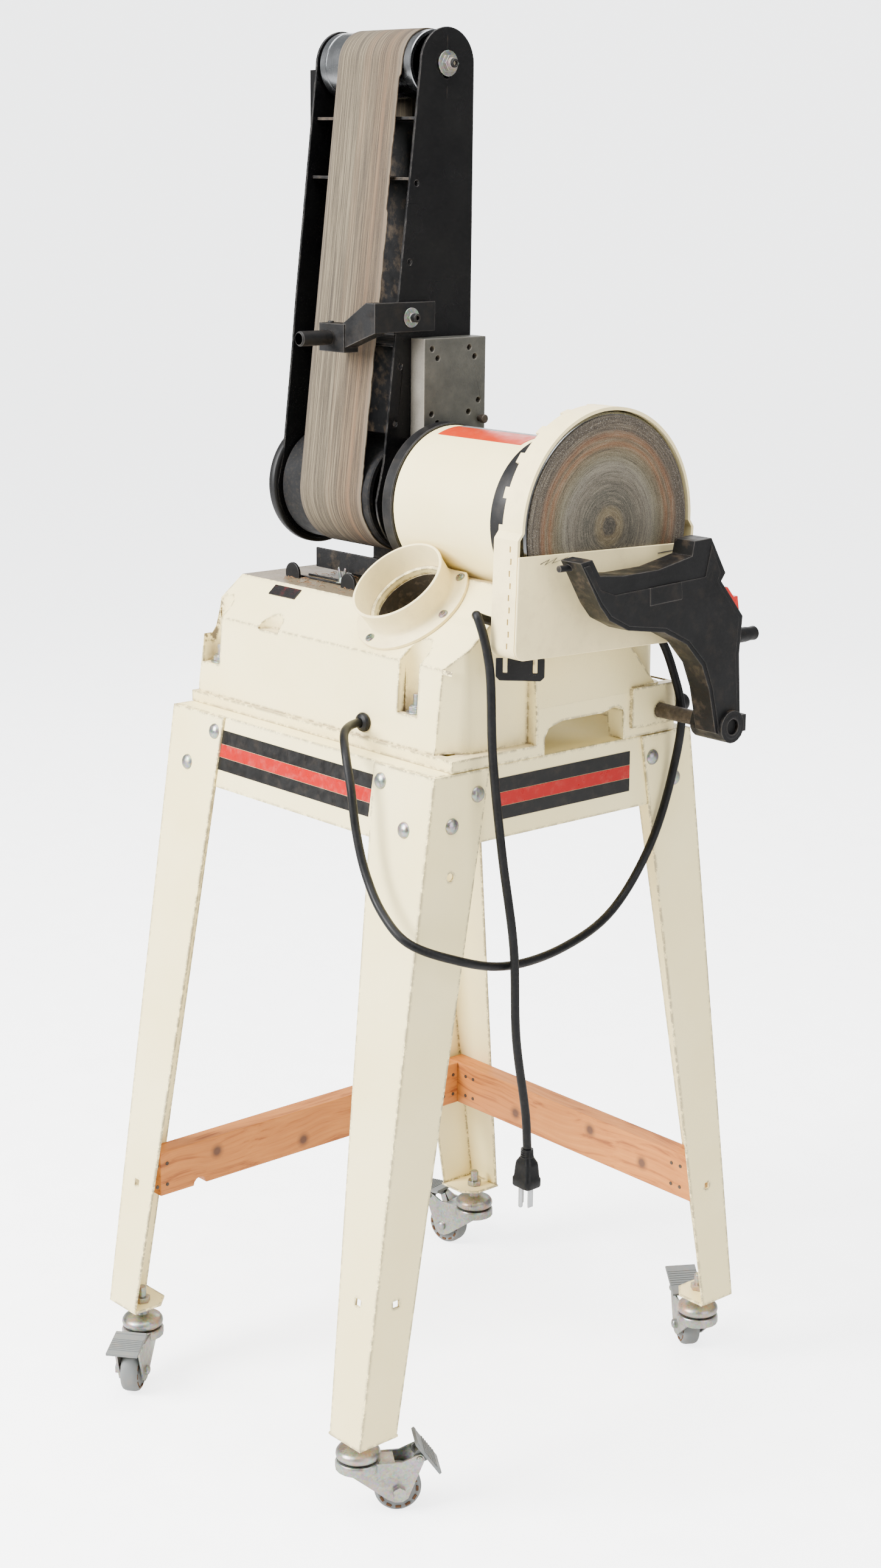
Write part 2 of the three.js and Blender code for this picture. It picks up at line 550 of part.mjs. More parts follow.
add(
  "iron_pad",
  cut(
    box(-10.4, 12, -20, 68, 1092, 1200),
    ...[[-9, 1189], [-1, 1179], [44, 1189], [52, 1179], [-9, 1120], [-1, 1110], [44, 1120],
      [58, 1132]].map(([y, z]) =>
      rod("x", y, z, 3.4, -12, 14, 6),
    ),
  ),
  castIron,
);

// Idler: its axle slides in the plates' slots on the tension bracket
const idlerProfile = [[6.5, -178], [14, -178], [14, -112], [31, -112], [31, -181.5], [35.2, -181.5],
  [35.2, -30], [31, -30], [31, -100], [14, -100], [14, -33], [6.5, -33]];
add("idler_drum", turned("x", IDLER.y, IDLER.z, idlerProfile, 24), aluminium);
const axle = rod("x", IDLER.y, IDLER.z, 6, -200, 0, 16);
const axleWasher = rod("x", IDLER.y, IDLER.z, 13.5, PLATE.right + PLATE.thick + GAP, -8.4, 16);
const axleNut = rod("x", IDLER.y, IDLER.z, 9.5, -8.5, -2.5, 6);
add("idler_axle", join(axle, outward(axleWasher), outward(axleNut)), zinc);
const bracketOutline = [[8, 1398], [46, 1398], [50, 1440], [48, 1500], [40, 1508], [16, 1508], [8, 1500]];
const axleBore = circle(IDLER.y, IDLER.z, 6.5, 16);
const knobBore = circle(26, 1425, 4.6, 12);
const bracketPlate = prism("x", bracketOutline, -196, -193, [axleBore, knobBore]);
const bracketFlange = box(-215, -193, 6, 9, 1401, 1479);
add("tension_bracket", join(bracketPlate, bracketFlange), blackPaint);
const knobStem = rod("x", 26, 1425, 4, -206, -188.8, 12);
const knobGrip = turned("x", 26, 1425, [[0, -222], [9, -222], [11, -219], [11, -208], [9, -205], [0, -205]],
  16);
add("tracking_knob", join(knobStem, knobGrip), blackCast);

// The sanding belt, a closed band round both drums
function beltLoop(offset) {
  const rise = IDLER.z - SPINDLE_Z;
  const span = Math.hypot(IDLER.y, rise);
  const heading = (Math.atan2(rise, IDLER.y) * 180) / Math.PI;
  const drop = (Math.asin((DRUM.driveRadius - DRUM.idlerRadius) / span) * 180) / Math.PI;
  const right = heading - 90 + drop;
  const left = heading + 90 - drop;
  return [
    ...arc(IDLER.y, IDLER.z, DRUM.idlerRadius + offset, right, left, 14),
    ...arc(0, SPINDLE_Z, DRUM.driveRadius + offset, left, right + 360, 18),
  ];
}
add("sanding_belt", prism("x", beltLoop(GAP + BELT.thick), BELT.x0, BELT.x1, [beltLoop(GAP)]), beltCloth);

// Stop bracket cranked round the back of the belt, and its rod
const stopArm = box(-10.4, -1, -62, 6, 1207, 1238);
const crankOutline = [[-1, 1238], [-16, 1238], [-54, 1215], [-54, 1188], [-24, 1199], [-1, 1207]];
const stopCrank = prism("y", crankOutline.map(([x, z]) => [z, x]), -78, -61);
const stopBlock = box(-92, -50, -80, -60, 1184, 1214);
add("stop_bracket", join(stopArm, stopCrank, stopBlock), blackCast);
add("stop_rod", rod("y", 1199, -74, 8, -122, -80 - GAP, 16), steel);

// Table support: a rod that slides in the base boss, and the trunnion casting that swings on it
add("table_rod", rod("x", ROD.y, ROD.z, ROD.radius, 180, 322, 16), rustySteel);
const trunnionOutline = [
  [-90, 1007], [-74, 1009], [-63, 992], [-30, 989], [20, 990], [68, 999], [71, 1014], [96, 1015], [119,
    977], [113, 969], [127, 953], [148, 929], [145, 889],
  [150, 826], [146, 803], [133, 799], [113, 809], [101, 856], [89, 883], [64, 909], [31, 925], [-21, 933],
    [-48, 946], [-62, 962],
];
const trunnionPlate = prism("x", trunnionOutline, 298, 326);
const trunnionHub = prism("x", circle(ROD.y, ROD.z, 17.5, 18), 286, 331);
const trunnionEar = box(306, 326, 146, 160, 805, 823);
const pins = [rod("y", 1000, 306, 3.5, -100, -80, 10), rod("y", 1004, 306, 3.5, 90, 118, 10)];
const rodBore = rod("x", ROD.y, ROD.z, ROD.radius + 0.4, 280, 340, 16);
const handleBore = rod("y", 905, 312, 4.6, 125, 170, 12);
add("trunnion", cut(join(trunnionPlate, trunnionHub, trunnionEar, ...pins), rodBore, handleBore),
  blackCast);
const handleStem = rod("y", 905, 312, 4, 128, 158, 12);
const handleGrip = rod("y", 905, 312, 8, 151, 184, 16);
add("tilt_handle", join(handleStem, handleGrip), blackCast);
const lockStem = rod("y", ROD.z, 213, 4, ROD.y + ROD.radius + 0.5, 164, 12);
const lockGrip = turned("y", ROD.z, 213, [[0, 162], [8, 162], [11, 166], [11, 182], [8, 186], [0, 186]],
  16);
add("rod_lock_knob", join(lockStem, lockGrip), blackCast);

// Switch on the operator's side
add("switch_box", cut(box(-60, 14, 158, 186, 812, 884), box(-47, 1, 182.5, 187, 823, 875)), blackPaint);
const paddleOutline = [[186.6, 872], [190, 872], [196, 850], [190, 826], [186.6, 826]];
add("switch_paddle", prism("x", paddleOutline, -44, -2), redPlastic);

// Power cord: out of the base, a loop in front of the leg, up past the table rod, behind the guard,
// out on its other side and down to the plug
const cordPath = [
  [77, -148, 815], [77, -168, 815], [90, -192, 812], [116, -212, 796], [134, -220, 766], [148, -224, 722],
  [167, -227, 683], [198, -231, 650], [234, -228, 627], [262, -184, 606], [256, -110, 584], [250, -26, 585],
  [236, 60, 606], [232, 120, 668], [234, 149, 745], [241, 152, 812], [232, 145, 858], [226, 137, 884],
  [224, 122, 905], [224, 96, 928], [224, 50, 933], [224, -50, 933], [224, -104, 936], [226, -134, 946],
    [233, -140, 948],
  [240, -138, 930], [244, -132, 894], [246, -128, 806], [256, -122, 704], [266, -113, 606], [269, -110,
    509],
  [271, -96, 420], [272, -94, 384.4],
];
add("power_cord", pipe(cordPath, 4.6, 66, 6), rubber);
const plugBody = loft(rectangle(259, 285, -105, -83, 342), rectangle(265, 279, -100, -88, 383.8));
const blades = [box(264, 265.6, -98, -91, 324, 344), box(278, 279.6, -98, -91, 324, 344),
  rod("z", 272, -102, 2.4, 320, 344, 6)];
add("power_plug", join(plugBody, ...blades), rubber);

export default sander;
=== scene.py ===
"""Looks for a belt and disc sander on an open rolling stand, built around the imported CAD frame.

Shapes are written in stand millimetres, as in the CAD source: x and y from the stand's centre, z up from the
level that the stand's heights are measured from. at() takes them to the row frame, whose origin is the
centre of the abrasive disc's face.
"""

import math
import random

import bmesh
import bpy
from mathutils import Matrix, Vector, noise


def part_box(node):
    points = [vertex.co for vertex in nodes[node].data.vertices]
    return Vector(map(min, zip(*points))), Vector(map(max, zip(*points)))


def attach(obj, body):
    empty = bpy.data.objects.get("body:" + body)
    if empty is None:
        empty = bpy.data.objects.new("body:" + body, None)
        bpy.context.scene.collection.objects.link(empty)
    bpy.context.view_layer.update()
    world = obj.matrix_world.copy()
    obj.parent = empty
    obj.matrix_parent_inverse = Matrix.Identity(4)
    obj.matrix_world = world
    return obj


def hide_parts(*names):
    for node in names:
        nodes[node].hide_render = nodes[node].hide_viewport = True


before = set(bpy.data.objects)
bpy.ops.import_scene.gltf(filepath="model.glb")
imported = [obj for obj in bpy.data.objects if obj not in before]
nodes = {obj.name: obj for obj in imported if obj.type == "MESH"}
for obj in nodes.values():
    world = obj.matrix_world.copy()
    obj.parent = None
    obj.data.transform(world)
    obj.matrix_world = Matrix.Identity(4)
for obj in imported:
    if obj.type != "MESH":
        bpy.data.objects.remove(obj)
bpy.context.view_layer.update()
random.seed(11)

# Driving dimensions, in millimetres and degrees, shared with the CAD source
DISC_OUT = 274  # abrasive face from the stand's centre
SPINDLE_Z = 1029
DISC_RADIUS = 114.3
STAND_TOP_Z = 787.6
LEG_BOTTOM_Z = 83
LEG_TOP = (223.3, 185.5)
LEG_BOTTOM = (231, 286)
SHEET = 2.5
WALL_Y = 150
WALL_TOP_Z = 888
SLOPE = 0.85
PLATFORM_Z = 929
PORT_CENTRE = (84, 72)  # x, and distance up the slope from its lower edge
MOTOR_RADIUS = 81
RING_RADIUS = 83.5
IDLER = (28, 1482.5)  # y and z, as ROD and STOP
DRIVE_RADIUS = 62
IDLER_RADIUS = 35.2
BELT_X = (-147, -40)
ROD = (134, 813.5)
TILT_LOCK = (312, 905)  # x and z of the tilt handle's axis
STOP = (-28, 1222)  # y and z of the stop bracket's screw
PLUG = (272, -94)
GUARD_RADIUS = 119.5
GUARD_LEAN = -1.6
CASTER = (199, 262, -5)  # swivel axis, and the floor
WHEEL = (42, 25.4)  # behind the swivel axis, and above the floor
PEDAL = (64, 62)
CASTER_TURN = {"front_left": -50, "front_right": 57, "rear_left": 190, "rear_right": 148}
PEDAL_PITCH = {"front_left": 8, "front_right": 54, "rear_left": 6, "rear_right": -25}
CORNERS = {"front_left": (-1, -1), "front_right": (1, -1), "rear_left": (-1, 1), "rear_right": (1, 1)}


def at(x, y, z):
    """A point in stand millimetres, as metres in the row frame."""
    return Vector((x - DISC_OUT, y, z - SPINDLE_Z)) * 0.001


# ---------------------------------------------------------------- materials
class Paint:
    """A node material, with short names for the nodes it is built from."""

    def __init__(self, name, color=(0.5, 0.5, 0.5), roughness=0.5, metallic=0.0):
        self.material = bpy.data.materials.new(name)
        self.material.use_nodes = True
        self.tree = self.material.node_tree
        self.shader = self.tree.nodes["Principled BSDF"]
        self.coords = self.tree.nodes.new("ShaderNodeTexCoord").outputs["Object"]
        self.normal = None
        self.set("Base Color", color)
        self.set("Roughness", roughness)
        self.set("Metallic", metallic)

    def wire(self, target, value):
        if isinstance(value, bpy.types.NodeSocket):
            self.tree.links.new(value, target)
        elif target.type == "RGBA":
            target.default_value = (*value, 1) if isinstance(value, tuple) else (value, value, value, 1)
        else:
            target.default_value = value

    def set(self, socket, value):
        self.wire(self.shader.inputs[socket], value)

    def node(self, kind, inputs, **props):
        made = self.tree.nodes.new(kind)
        for key, value in props.items():
            setattr(made, key, value)
        for key, value in inputs.items():
            self.wire(made.inputs[key], value)
        return made

    def stretched(self, stretch):
        return self.node("ShaderNodeMapping", {"Vector": self.coords, "Scale": stretch}).outputs["Vector"]

    def noise(self, scale, detail=3.0, stretch=None, rough=0.55, vector=None):
        where = vector or (self.stretched(stretch) if stretch else self.coords)
        inputs = {"Vector": where, "Scale": scale, "Detail": detail, "Roughness": rough}
        return self.node("ShaderNodeTexNoise", inputs).outputs["Fac"]

    def ramp(self, value, *stops):
        """A color ramp through (position, color or grey) stops, given in rising order."""
        made = self.node("ShaderNodeValToRGB", {"Fac": value})
        elements = made.color_ramp.elements
        elements[0].position, elements[-1].position = stops[0][0], stops[-1][0]
        for position, _ in stops[1:-1]:
            elements.new(position)
        for element, (_, color) in zip(elements, stops):
            element.color = (*color, 1) if isinstance(color, tuple) else (color, color, color, 1)
        return made.outputs["Color"]

    def blotches(self, scale, detail, *stops, rough=0.55):
        """A color ramp driven by plain noise."""
        return self.ramp(self.noise(scale, detail, rough=rough), *stops)

    def spots(self, scale, detail, low, high, most=1.0, rough=0.55):
        """A mask from plain noise: 0 up to low, then rising to most at high."""
        return self.blotches(scale, detail, (low, 0.0), (high, most), rough=rough)

    def shine(self, scale, detail, low, high):
        """Roughness that wanders between two values."""
        self.set("Roughness", self.blotches(scale, detail, (0.3, low), (0.7, high)))

    def mix(self, factor, a, b, blend="MIX"):
        made = self.tree.nodes.new("ShaderNodeMix")
        made.data_type = "RGBA"
        made.blend_type = blend
        self.wire(made.inputs[0], factor)
        self.wire(made.inputs[6], a)
        self.wire(made.inputs[7], b)
        return made.outputs[2]

    def math(self, operation, a, b=0.0):
        return self.node("ShaderNodeMath", {0: a, 1: b}, operation=operation).outputs[0]

    def times(self, a, b):
        return self.math("MULTIPLY", a, b)

    def part(self, vector, axis):
        return self.node("ShaderNodeSeparateXYZ", {0: vector}).outputs[axis]

    def span(self, value, low, high):
        inputs = {"Value": value, "From Min": low, "From Max": high}
        return self.node("ShaderNodeMapRange", inputs).outputs["Result"]

    def vector_math(self, operation, a, b=(0.0, 0.0, 0.0), output="Value"):
        return self.node("ShaderNodeVectorMath", {0: a, 1: b}, operation=operation).outputs[output]

    def bump(self, height, strength=0.3, depth=0.0005):
        inputs = {"Height": height, "Strength": strength, "Distance": depth}
        if self.normal:
            inputs["Normal"] = self.normal
        self.normal = self.node("ShaderNodeBump", inputs).outputs["Normal"]
        self.set("Normal", self.normal)

    def edges(self, radius):
        """About 0 on flat ground and rising towards 1 on a sharp outside or inside edge."""
        bent = self.node("ShaderNodeBevel", {"Radius": radius}, samples=4).outputs["Normal"]
        plain = self.node("ShaderNodeNewGeometry", {}).outputs["Normal"]
        return self.math("SUBTRACT", 1.0, self.vector_math("DOT_PRODUCT", bent, plain))

    def facing(self, axis, low, high):
        """A mask by how far the surface faces along an axis."""
        normal = self.node("ShaderNodeNewGeometry", {}).outputs["Normal"]
        return self.span(self.part(normal, axis), low, high)

    def facing_up(self):
        return self.facing(2, 0.75, 0.95)


def cream_paint(name, dust=0.0, spots=0.4, chips=True):
    """Cream enamel with a fine pebbled skin, brown sanding dust with painted shade in its crevices, and small
    chips on its edges.
    """
    p = Paint(name, roughness=0.4)
    tone = p.blotches(7, 4, (0.32, (0.87, 0.735, 0.36)), (0.68, (0.92, 0.80, 0.43)))
    dots = p.spots(1100, 1.5, 0.66, 0.74)
    patches = p.spots(16, 3, 0.46, 0.72)
    color = p.mix(p.times(p.times(dots, patches), spots), tone, (0.27, 0.17, 0.10))
    if dust:
        settled = p.times(p.facing_up(), p.blotches(60, 6, (0.35, 0.35), (0.6, 1.0)))
        color = p.mix(p.times(settled, dust * 0.6), color, (0.42, 0.33, 0.22))
        # Dust caught in crevices, and painted shade: ambient occlusion darkens the cream where corners and
        # recesses are shut in
        occlusion_amount = p.node("ShaderNodeAmbientOcclusion", {"Distance": 0.03}, samples=4).outputs["AO"]
        crevice_dust_and_shade = p.times(p.ramp(occlusion_amount, (0.3, 0.9), (0.75, 0.0)), p.blotches(90, 5, (0.35, 0.3), (0.65, 1.0)))
        color = p.mix(crevice_dust_and_shade, color, (0.36, 0.265, 0.165))
        low = at(0, 0, PLATFORM_Z - 3).z
        high = at(0, 0, PLATFORM_Z + 3).z
        height = p.part(p.coords, 2)
        level = p.times(p.math("GREATER_THAN", height, low), p.math("LESS_THAN", height, high))
        powder = p.blotches(300, 6, (0.36, (0.060, 0.042, 0.024)), (0.64, (0.165, 0.122, 0.075)), rough=0.7)
        color = p.mix(p.times(p.times(level, p.facing_up()), 0.95), color, powder)
    if chips:
        worn = p.times(p.ramp(p.edges(0.0055), (0.012, 0.0), (0.06, 1.0)), p.noise(120, 5, rough=0.75))
        color = p.mix(p.ramp(worn, (0.44, 0.0), (0.52, 0.95)), color, (0.10, 0.075, 0.055))
    p.set("Base Color", color)
    p.shine(25, 3, 0.34, 0.5)
    p.bump(p.noise(750, 2), 0.22, 0.0006)
    return p.material


def black_enamel(name, wear=0.8, roughness=0.2):
    """Gloss black enamel on sheet, rubbed to bare metal along its edges, with dust and hairline scratches."""
    p = Paint(name, roughness=roughness)
    p.set("Specular IOR Level", 0.24)
    tone = p.blotches(12, 4, (0.35, (0.0025, 0.0025, 0.003)), (0.7, (0.006, 0.006, 0.006)))
    lint = p.spots(1500, 1, 0.72, 0.8, 0.4)
    color = p.mix(lint, tone, (0.2, 0.17, 0.14))
    rub = p.times(p.ramp(p.edges(0.0010), (0.03, 0.0), (0.14, 1.0)), p.spots(90, 5, 0.42, 0.6, wear))
    p.set("Base Color", p.mix(rub, color, (0.34, 0.31, 0.28)))
    p.set("Roughness", p.blotches(14, 3, (0.3, roughness), (0.75, roughness + 0.12)))
    scratches = p.ramp(p.noise(40, 2, stretch=(1, 30, 2)), (0.66, 0.0), (0.72, 1.0))
    p.bump(scratches, 0.03, 0.0001)
    p.bump(p.noise(120, 1), 0.02, 0.0003)
    return p.material


def black_casting(name, dust=0.5, inner_only=False):
    """Satin black paint over a sand casting, with brown dust caught on its rougher faces."""
    p = Paint(name, roughness=0.5)
    tone = p.blotches(30, 4, (0.3, (0.002, 0.002, 0.0023)), (0.7, (0.005, 0.005, 0.0054)))
    dusty = p.times(p.spots(55, 7, 0.5, 0.68, rough=0.7), dust)
    if inner_only:
        dusty = p.times(dusty, p.facing(0, 0.7, 0.3))
    color = p.mix(dusty, tone, (0.055, 0.04, 0.026))
    rub = p.times(p.ramp(p.edges(0.0015), (0.03, 0.0), (0.16, 0.7)), p.noise(140, 4))
    p.set("Base Color", p.mix(rub, color, (0.22, 0.2, 0.18)))
    p.shine(70, 4, 0.38, 0.62)
    p.set("Specular IOR Level", 0.22)
    p.bump(p.noise(420, 4), 0.2, 0.0005)
    return p.material


def rubber(name, dust=0.25, roughness=0.55):
    p = Paint(name, roughness=roughness)
    tone = p.blotches(40, 4, (0.3, (0.003, 0.0032, 0.0036)), (0.7, (0.007, 0.0073, 0.008)))
    powder = p.times(p.spots(300, 6, 0.5, 0.75, rough=0.7), dust)
    p.set("Base Color", p.mix(powder, tone, (0.075, 0.055, 0.036)))
    p.shine(50, 3, roughness - 0.1, roughness + 0.12)
    p.set("Specular IOR Level", 0.16)
    p.bump(p.noise(900, 2), 0.12, 0.0004)
    return p.material


def zinc_plate(name, rust=0.35):
    """Bright zinc plate going dull, with a rusty bloom."""
    p = Paint(name, roughness=0.35, metallic=0.9)
    spangle = p.node("ShaderNodeTexVoronoi", {"Vector": p.coords, "Scale": 420.0}).outputs["Color"]
    tone = p.mix(0.12, p.blotches(30, 4, (0.3, (0.20, 0.21, 0.185)), (0.7, (0.31, 0.32, 0.285))), spangle)
    bloom = p.times(p.spots(60, 6, 0.48, 0.72, rough=0.65), rust)
    p.set("Base Color", p.mix(bloom, tone, (0.36, 0.17, 0.08)))
    p.set("Metallic", p.ramp(bloom, (0.0, 0.9), (0.8, 0.2)))
    p.shine(80, 4, 0.26, 0.5)
    p.bump(p.noise(500, 3), 0.08, 0.0003)
    return p.material


def machined(name, color=(0.27, 0.28, 0.29), around=(900, 4, 4), roughness=0.26):
    """Turned metal: fine tool marks that run round the X axis."""
    p = Paint(name, color, roughness, 1.0)
    marks = p.noise(1.0, 2, stretch=around)
    p.set("Base Color", p.mix(p.ramp(marks, (0.35, 0.0), (0.65, 1.0)), tuple(c * 0.82 for c in color), color))
    p.shine(60, 4, roughness - 0.03, roughness + 0.04)
    p.bump(marks, 0.05, 0.0001)
    return p.material


def rusty_steel(name, tone=(0.035, 0.027, 0.02)):
    p = Paint(name, roughness=0.6, metallic=0.5)
    rust = p.blotches(
        120, 8, (0.35, tone), (0.55, (0.06, 0.046, 0.034)), (0.72, (0.11, 0.09, 0.068)), rough=0.7
    )
    p.set("Base Color", rust)
    p.shine(200, 4, 0.42, 0.75)
    p.bump(p.noise(500, 5), 0.4, 0.0006)
    return p.material


def bare_iron(name):
    """Unpainted grey iron, ground flat, stained brown and pitted."""
    p = Paint(name, roughness=0.5, metallic=0.45)
    stain = p.blotches(
        26, 7, (0.3, (0.05, 0.05, 0.043)), (0.55, (0.078, 0.077, 0.066)), (0.75, (0.11, 0.105, 0.088)),
        rough=0.65
    )
    sawn = p.times(p.facing(1, -0.3, -0.8), p.blotches(500, 3, (0.3, 0.7), (0.6, 1.0)))
    stain = p.mix(sawn, stain, (0.16, 0.145, 0.12))
    pits = p.spots(700, 2, 0.66, 0.72, 0.6)
    color = p.mix(pits, stain, (0.03, 0.025, 0.02))
    rim = p.times(p.ramp(p.edges(0.002), (0.03, 0.0), (0.15, 0.8)), p.noise(80, 4))
    p.set("Base Color", p.mix(rim, color, (0.42, 0.38, 0.32)))
    p.shine(60, 5, 0.4, 0.7)
    p.bump(p.noise(350, 5), 0.3, 0.0005)
    return p.material


def pine(name, along, knots):
    """Planed softwood, its grain running along one axis, with knots at the given points."""
    p = Paint(name, roughness=0.55)
    drift = p.node("ShaderNodeTexNoise", {"Vector": p.coords, "Scale": 5.0}).outputs["Color"]
    bent = p.mix(0.03, p.coords, drift, "LINEAR_LIGHT")
    fibre = [150.0, 150.0, 150.0]
    fibre[along] = 3.5
    lines = p.node("ShaderNodeMapping", {"Vector": bent, "Scale": tuple(fibre)}).outputs["Vector"]
    rings = p.noise(1.0, 4, vector=lines, rough=0.6)
    color = p.ramp(
        rings, (0.3, (0.56, 0.205, 0.032)), (0.55, (0.47, 0.155, 0.022)), (0.68, (0.25, 0.068, 0.009))
    )
    color = p.mix(p.spots(9, 3, 0.45, 0.75, 0.5), color, (0.40, 0.13, 0.02))
    for point in knots:
        near = p.vector_math("DISTANCE", p.coords, tuple(point))
        color = p.mix(p.ramp(near, (0.005, 0.95), (0.0095, 0.0)), color, (0.075, 0.028, 0.012))
    p.set("Base Color", color)
    p.set("Roughness", p.ramp(rings, (0.2, 0.5), (0.8, 0.68)))
    p.bump(rings, 0.2, 0.0004)
    return p.material


def worn_belt(name):
    """Abrasive cloth, loaded with wood dust in streaks that run the way the belt travels."""
    p = Paint(name, roughness=0.9)
    low, high = (at(x, 0, 0).x for x in BELT_X)
    across = p.span(p.part(p.coords, 0), low, high)
    streak = p.noise(1.0, 6, stretch=(620, 7, 7), rough=0.8)
    broad = p.noise(1.0, 3, stretch=(60, 0.9, 0.9))
    grit = p.noise(1600, 2)
    pale = p.ramp(
        streak, (0.40, (0.020, 0.015, 0.008)), (0.5, (0.062, 0.048, 0.027)), (0.60, (0.160, 0.130, 0.080))
    )
    tan = p.ramp(
        streak, (0.40, (0.014, 0.008, 0.003)), (0.5, (0.046, 0.028, 0.013)), (0.60, (0.125, 0.086, 0.044))
    )
    tan = p.mix(p.ramp(broad, (0.52, 0.0), (0.62, 0.7)), tan, (0.125, 0.068, 0.03))
    ragged = p.math("ADD", across, p.times(p.math("SUBTRACT", broad, 0.5), 0.4))
    side = p.ramp(ragged, (0.45, 0.0), (0.62, 1.0))
    color = p.mix(side, pale, tan)
    color = p.mix(p.ramp(across, (0.0, 0.65), (0.06, 0.0)), color, (0.055, 0.042, 0.03))
    color = p.mix(p.ramp(across, (0.90, 0.0), (1.0, 0.6)), color, (0.13, 0.112, 0.08))
    color = p.mix(p.spots(5, 4, 0.4, 0.75, 0.3), color, (0.06, 0.046, 0.03))
    p.set("Base Color", p.mix(p.ramp(grit, (0.3, 0.35), (0.6, 0.0)), color, (0.11, 0.08, 0.06)))
    p.bump(grit, 0.5, 0.0005)
    p.bump(streak, 0.2, 0.0006)
    return p.material


def worn_disc(name):
    """Abrasive disc seen face on: rings of glaze, resin and bare grit round a worn-through centre."""
    p = Paint(name, roughness=0.8)
    flat = p.vector_math("MULTIPLY", p.coords, (0.0, 1.0, 1.0), "Vector")
    radius = p.math("DIVIDE", p.vector_math("LENGTH", flat), DISC_RADIUS * 0.001)
    wobble = p.times(p.math("SUBTRACT", p.noise(22, 3), 0.5), 0.05)
    ring = p.math("ADD", radius, wobble)
    color = p.ramp(
        ring,
        (0.0, (0.012, 0.010, 0.006)),
        (0.07, (0.020, 0.016, 0.010)),
        (0.10, (0.120, 0.088, 0.040)),
        (0.16, (0.105, 0.082, 0.040)),
        (0.20, (0.050, 0.044, 0.030)),
        (0.30, (0.052, 0.048, 0.034)),
        (0.42, (0.092, 0.080, 0.058)),
        (0.53, (0.132, 0.118, 0.088)),
        (0.60, (0.105, 0.092, 0.054)),
        (0.68, (0.105, 0.076, 0.036)),
        (0.725, (0.150, 0.062, 0.018)),
        (0.76, (0.095, 0.066, 0.032)),
        (0.80, (0.140, 0.056, 0.017)),
        (0.85, (0.048, 0.033, 0.019)),
        (1.0, (0.028, 0.021, 0.014)),
    )
    around = p.vector_math("NORMALIZE", flat, output="Vector")
    turn = {0: p.times(radius, 80.0), 1: p.times(p.part(around, 1), 1.6)}
    turn[2] = p.times(p.part(around, 2), 1.6)
    lines = p.node("ShaderNodeCombineXYZ", turn).outputs["Vector"]
    fine = p.noise(1.0, 6, vector=lines, rough=0.8)
    color = p.mix(p.ramp(fine, (0.38, 0.7), (0.5, 0.0)), color, (0.014, 0.010, 0.006))
    color = p.mix(p.ramp(fine, (0.51, 0.0), (0.64, 0.55)), color, (0.21, 0.175, 0.115))
    grain = p.noise(1300, 3, rough=0.7)
    color = p.mix(p.ramp(grain, (0.36, 0.6), (0.5, 0.0)), color, (0.018, 0.013, 0.008))
    color = p.mix(p.ramp(grain, (0.52, 0.0), (0.66, 0.45)), color, (0.24, 0.205, 0.15))
    specks = p.times(p.spots(850, 1.5, 0.62, 0.68), p.ramp(radius, (0.82, 0.12), (0.88, 0.9)))
    color = p.mix(specks, color, (0.22, 0.20, 0.17))
    centre_spots = p.times(p.spots(520, 1, 0.6, 0.66), p.ramp(radius, (0.06, 0.0), (0.08, 1.0), (0.17, 0.0)))
    p.set("Base Color", p.mix(centre_spots, color, (0.03, 0.025, 0.02)))
    p.set("Roughness", p.ramp(fine, (0.3, 0.9), (0.7, 0.55)))
    p.bump(fine, 0.25, 0.0004)
    p.bump(p.noise(1500, 2), 0.4, 0.0005)
    return p.material


def plastic(name, color, roughness=0.45, wear=(0.5, 0.5, 0.5), amount=0.3):
    p = Paint(name, roughness=roughness)
    scuffs = p.times(p.spots(90, 6, 0.5, 0.7, rough=0.65), amount)
    tone = p.mix(p.spots(15, 3, 0.3, 0.7), color, tuple(c * 0.86 for c in color))
    p.set("Base Color", p.mix(scuffs, tone, wear))
    p.set("Specular IOR Level", 0.3)
    p.shine(120, 3, roughness - 0.07, roughness + 0.1)
    p.bump(p.noise(700, 2), 0.1, 0.0003)
    return p.material


def plain_floor(name):
    p = Paint(name, roughness=0.85)
    p.set("Base Color", p.blotches(18, 6, (0.35, (0.80, 0.79, 0.78)), (0.65, (0.86, 0.855, 0.85))))
    p.bump(p.noise(200, 3), 0.05, 0.0005)
    seen = p.node("ShaderNodeLightPath", {}).outputs["Is Camera Ray"]
    p.set("Emission Color", (0.97, 0.985, 1.0))
    p.set("Emission Strength", p.times(seen, 3.4))
    return p.material


CREAM = cream_paint("cream_enamel")
CREAM_DUST_AND_SHADE = cream_paint("cream_enamel_dust_and_shade", dust=0.8, spots=0.9)
CREAM_SMOOTH = cream_paint("cream_motor_paint", spots=0.15, chips=False)
CREAM_PLASTIC = plastic("cream_plastic", (0.90, 0.755, 0.40), 0.42, (0.42, 0.30, 0.18), 0.16)
BLACK = black_enamel("black_enamel")
BLACK_DULL = black_enamel("black_enamel_dull", 0.5, 0.42)
CASTING = black_casting("black_casting")
CASTING_EDGES = black_casting("black_casting_dusty_edges", 0.85, True)
CASTING_CLEAN = black_casting("black_casting_clean", 0.12)
RUBBER = rubber("drum_rubber")
CORD = rubber("cord_rubber", 0.1, 0.42)
ZINC = zinc_plate("zinc_plate")
ZINC_RUSTY = zinc_plate("zinc_rusty", 0.9)
ZINC_BRIGHT = zinc_plate("zinc_bright", 0.08)
TURNED = machined("turned_aluminium")
STEEL = machined("bright_steel", (0.42, 0.43, 0.44), (40, 40, 40), 0.3)
RUSTY = rusty_steel("rusty_steel")
IRON = bare_iron("bare_iron")
BELT = worn_belt("worn_belt")
DISC = worn_disc("worn_disc")
GREY = plastic("grey_plastic", (0.16, 0.17, 0.168), 0.5, (0.22, 0.17, 0.13), 0.35)
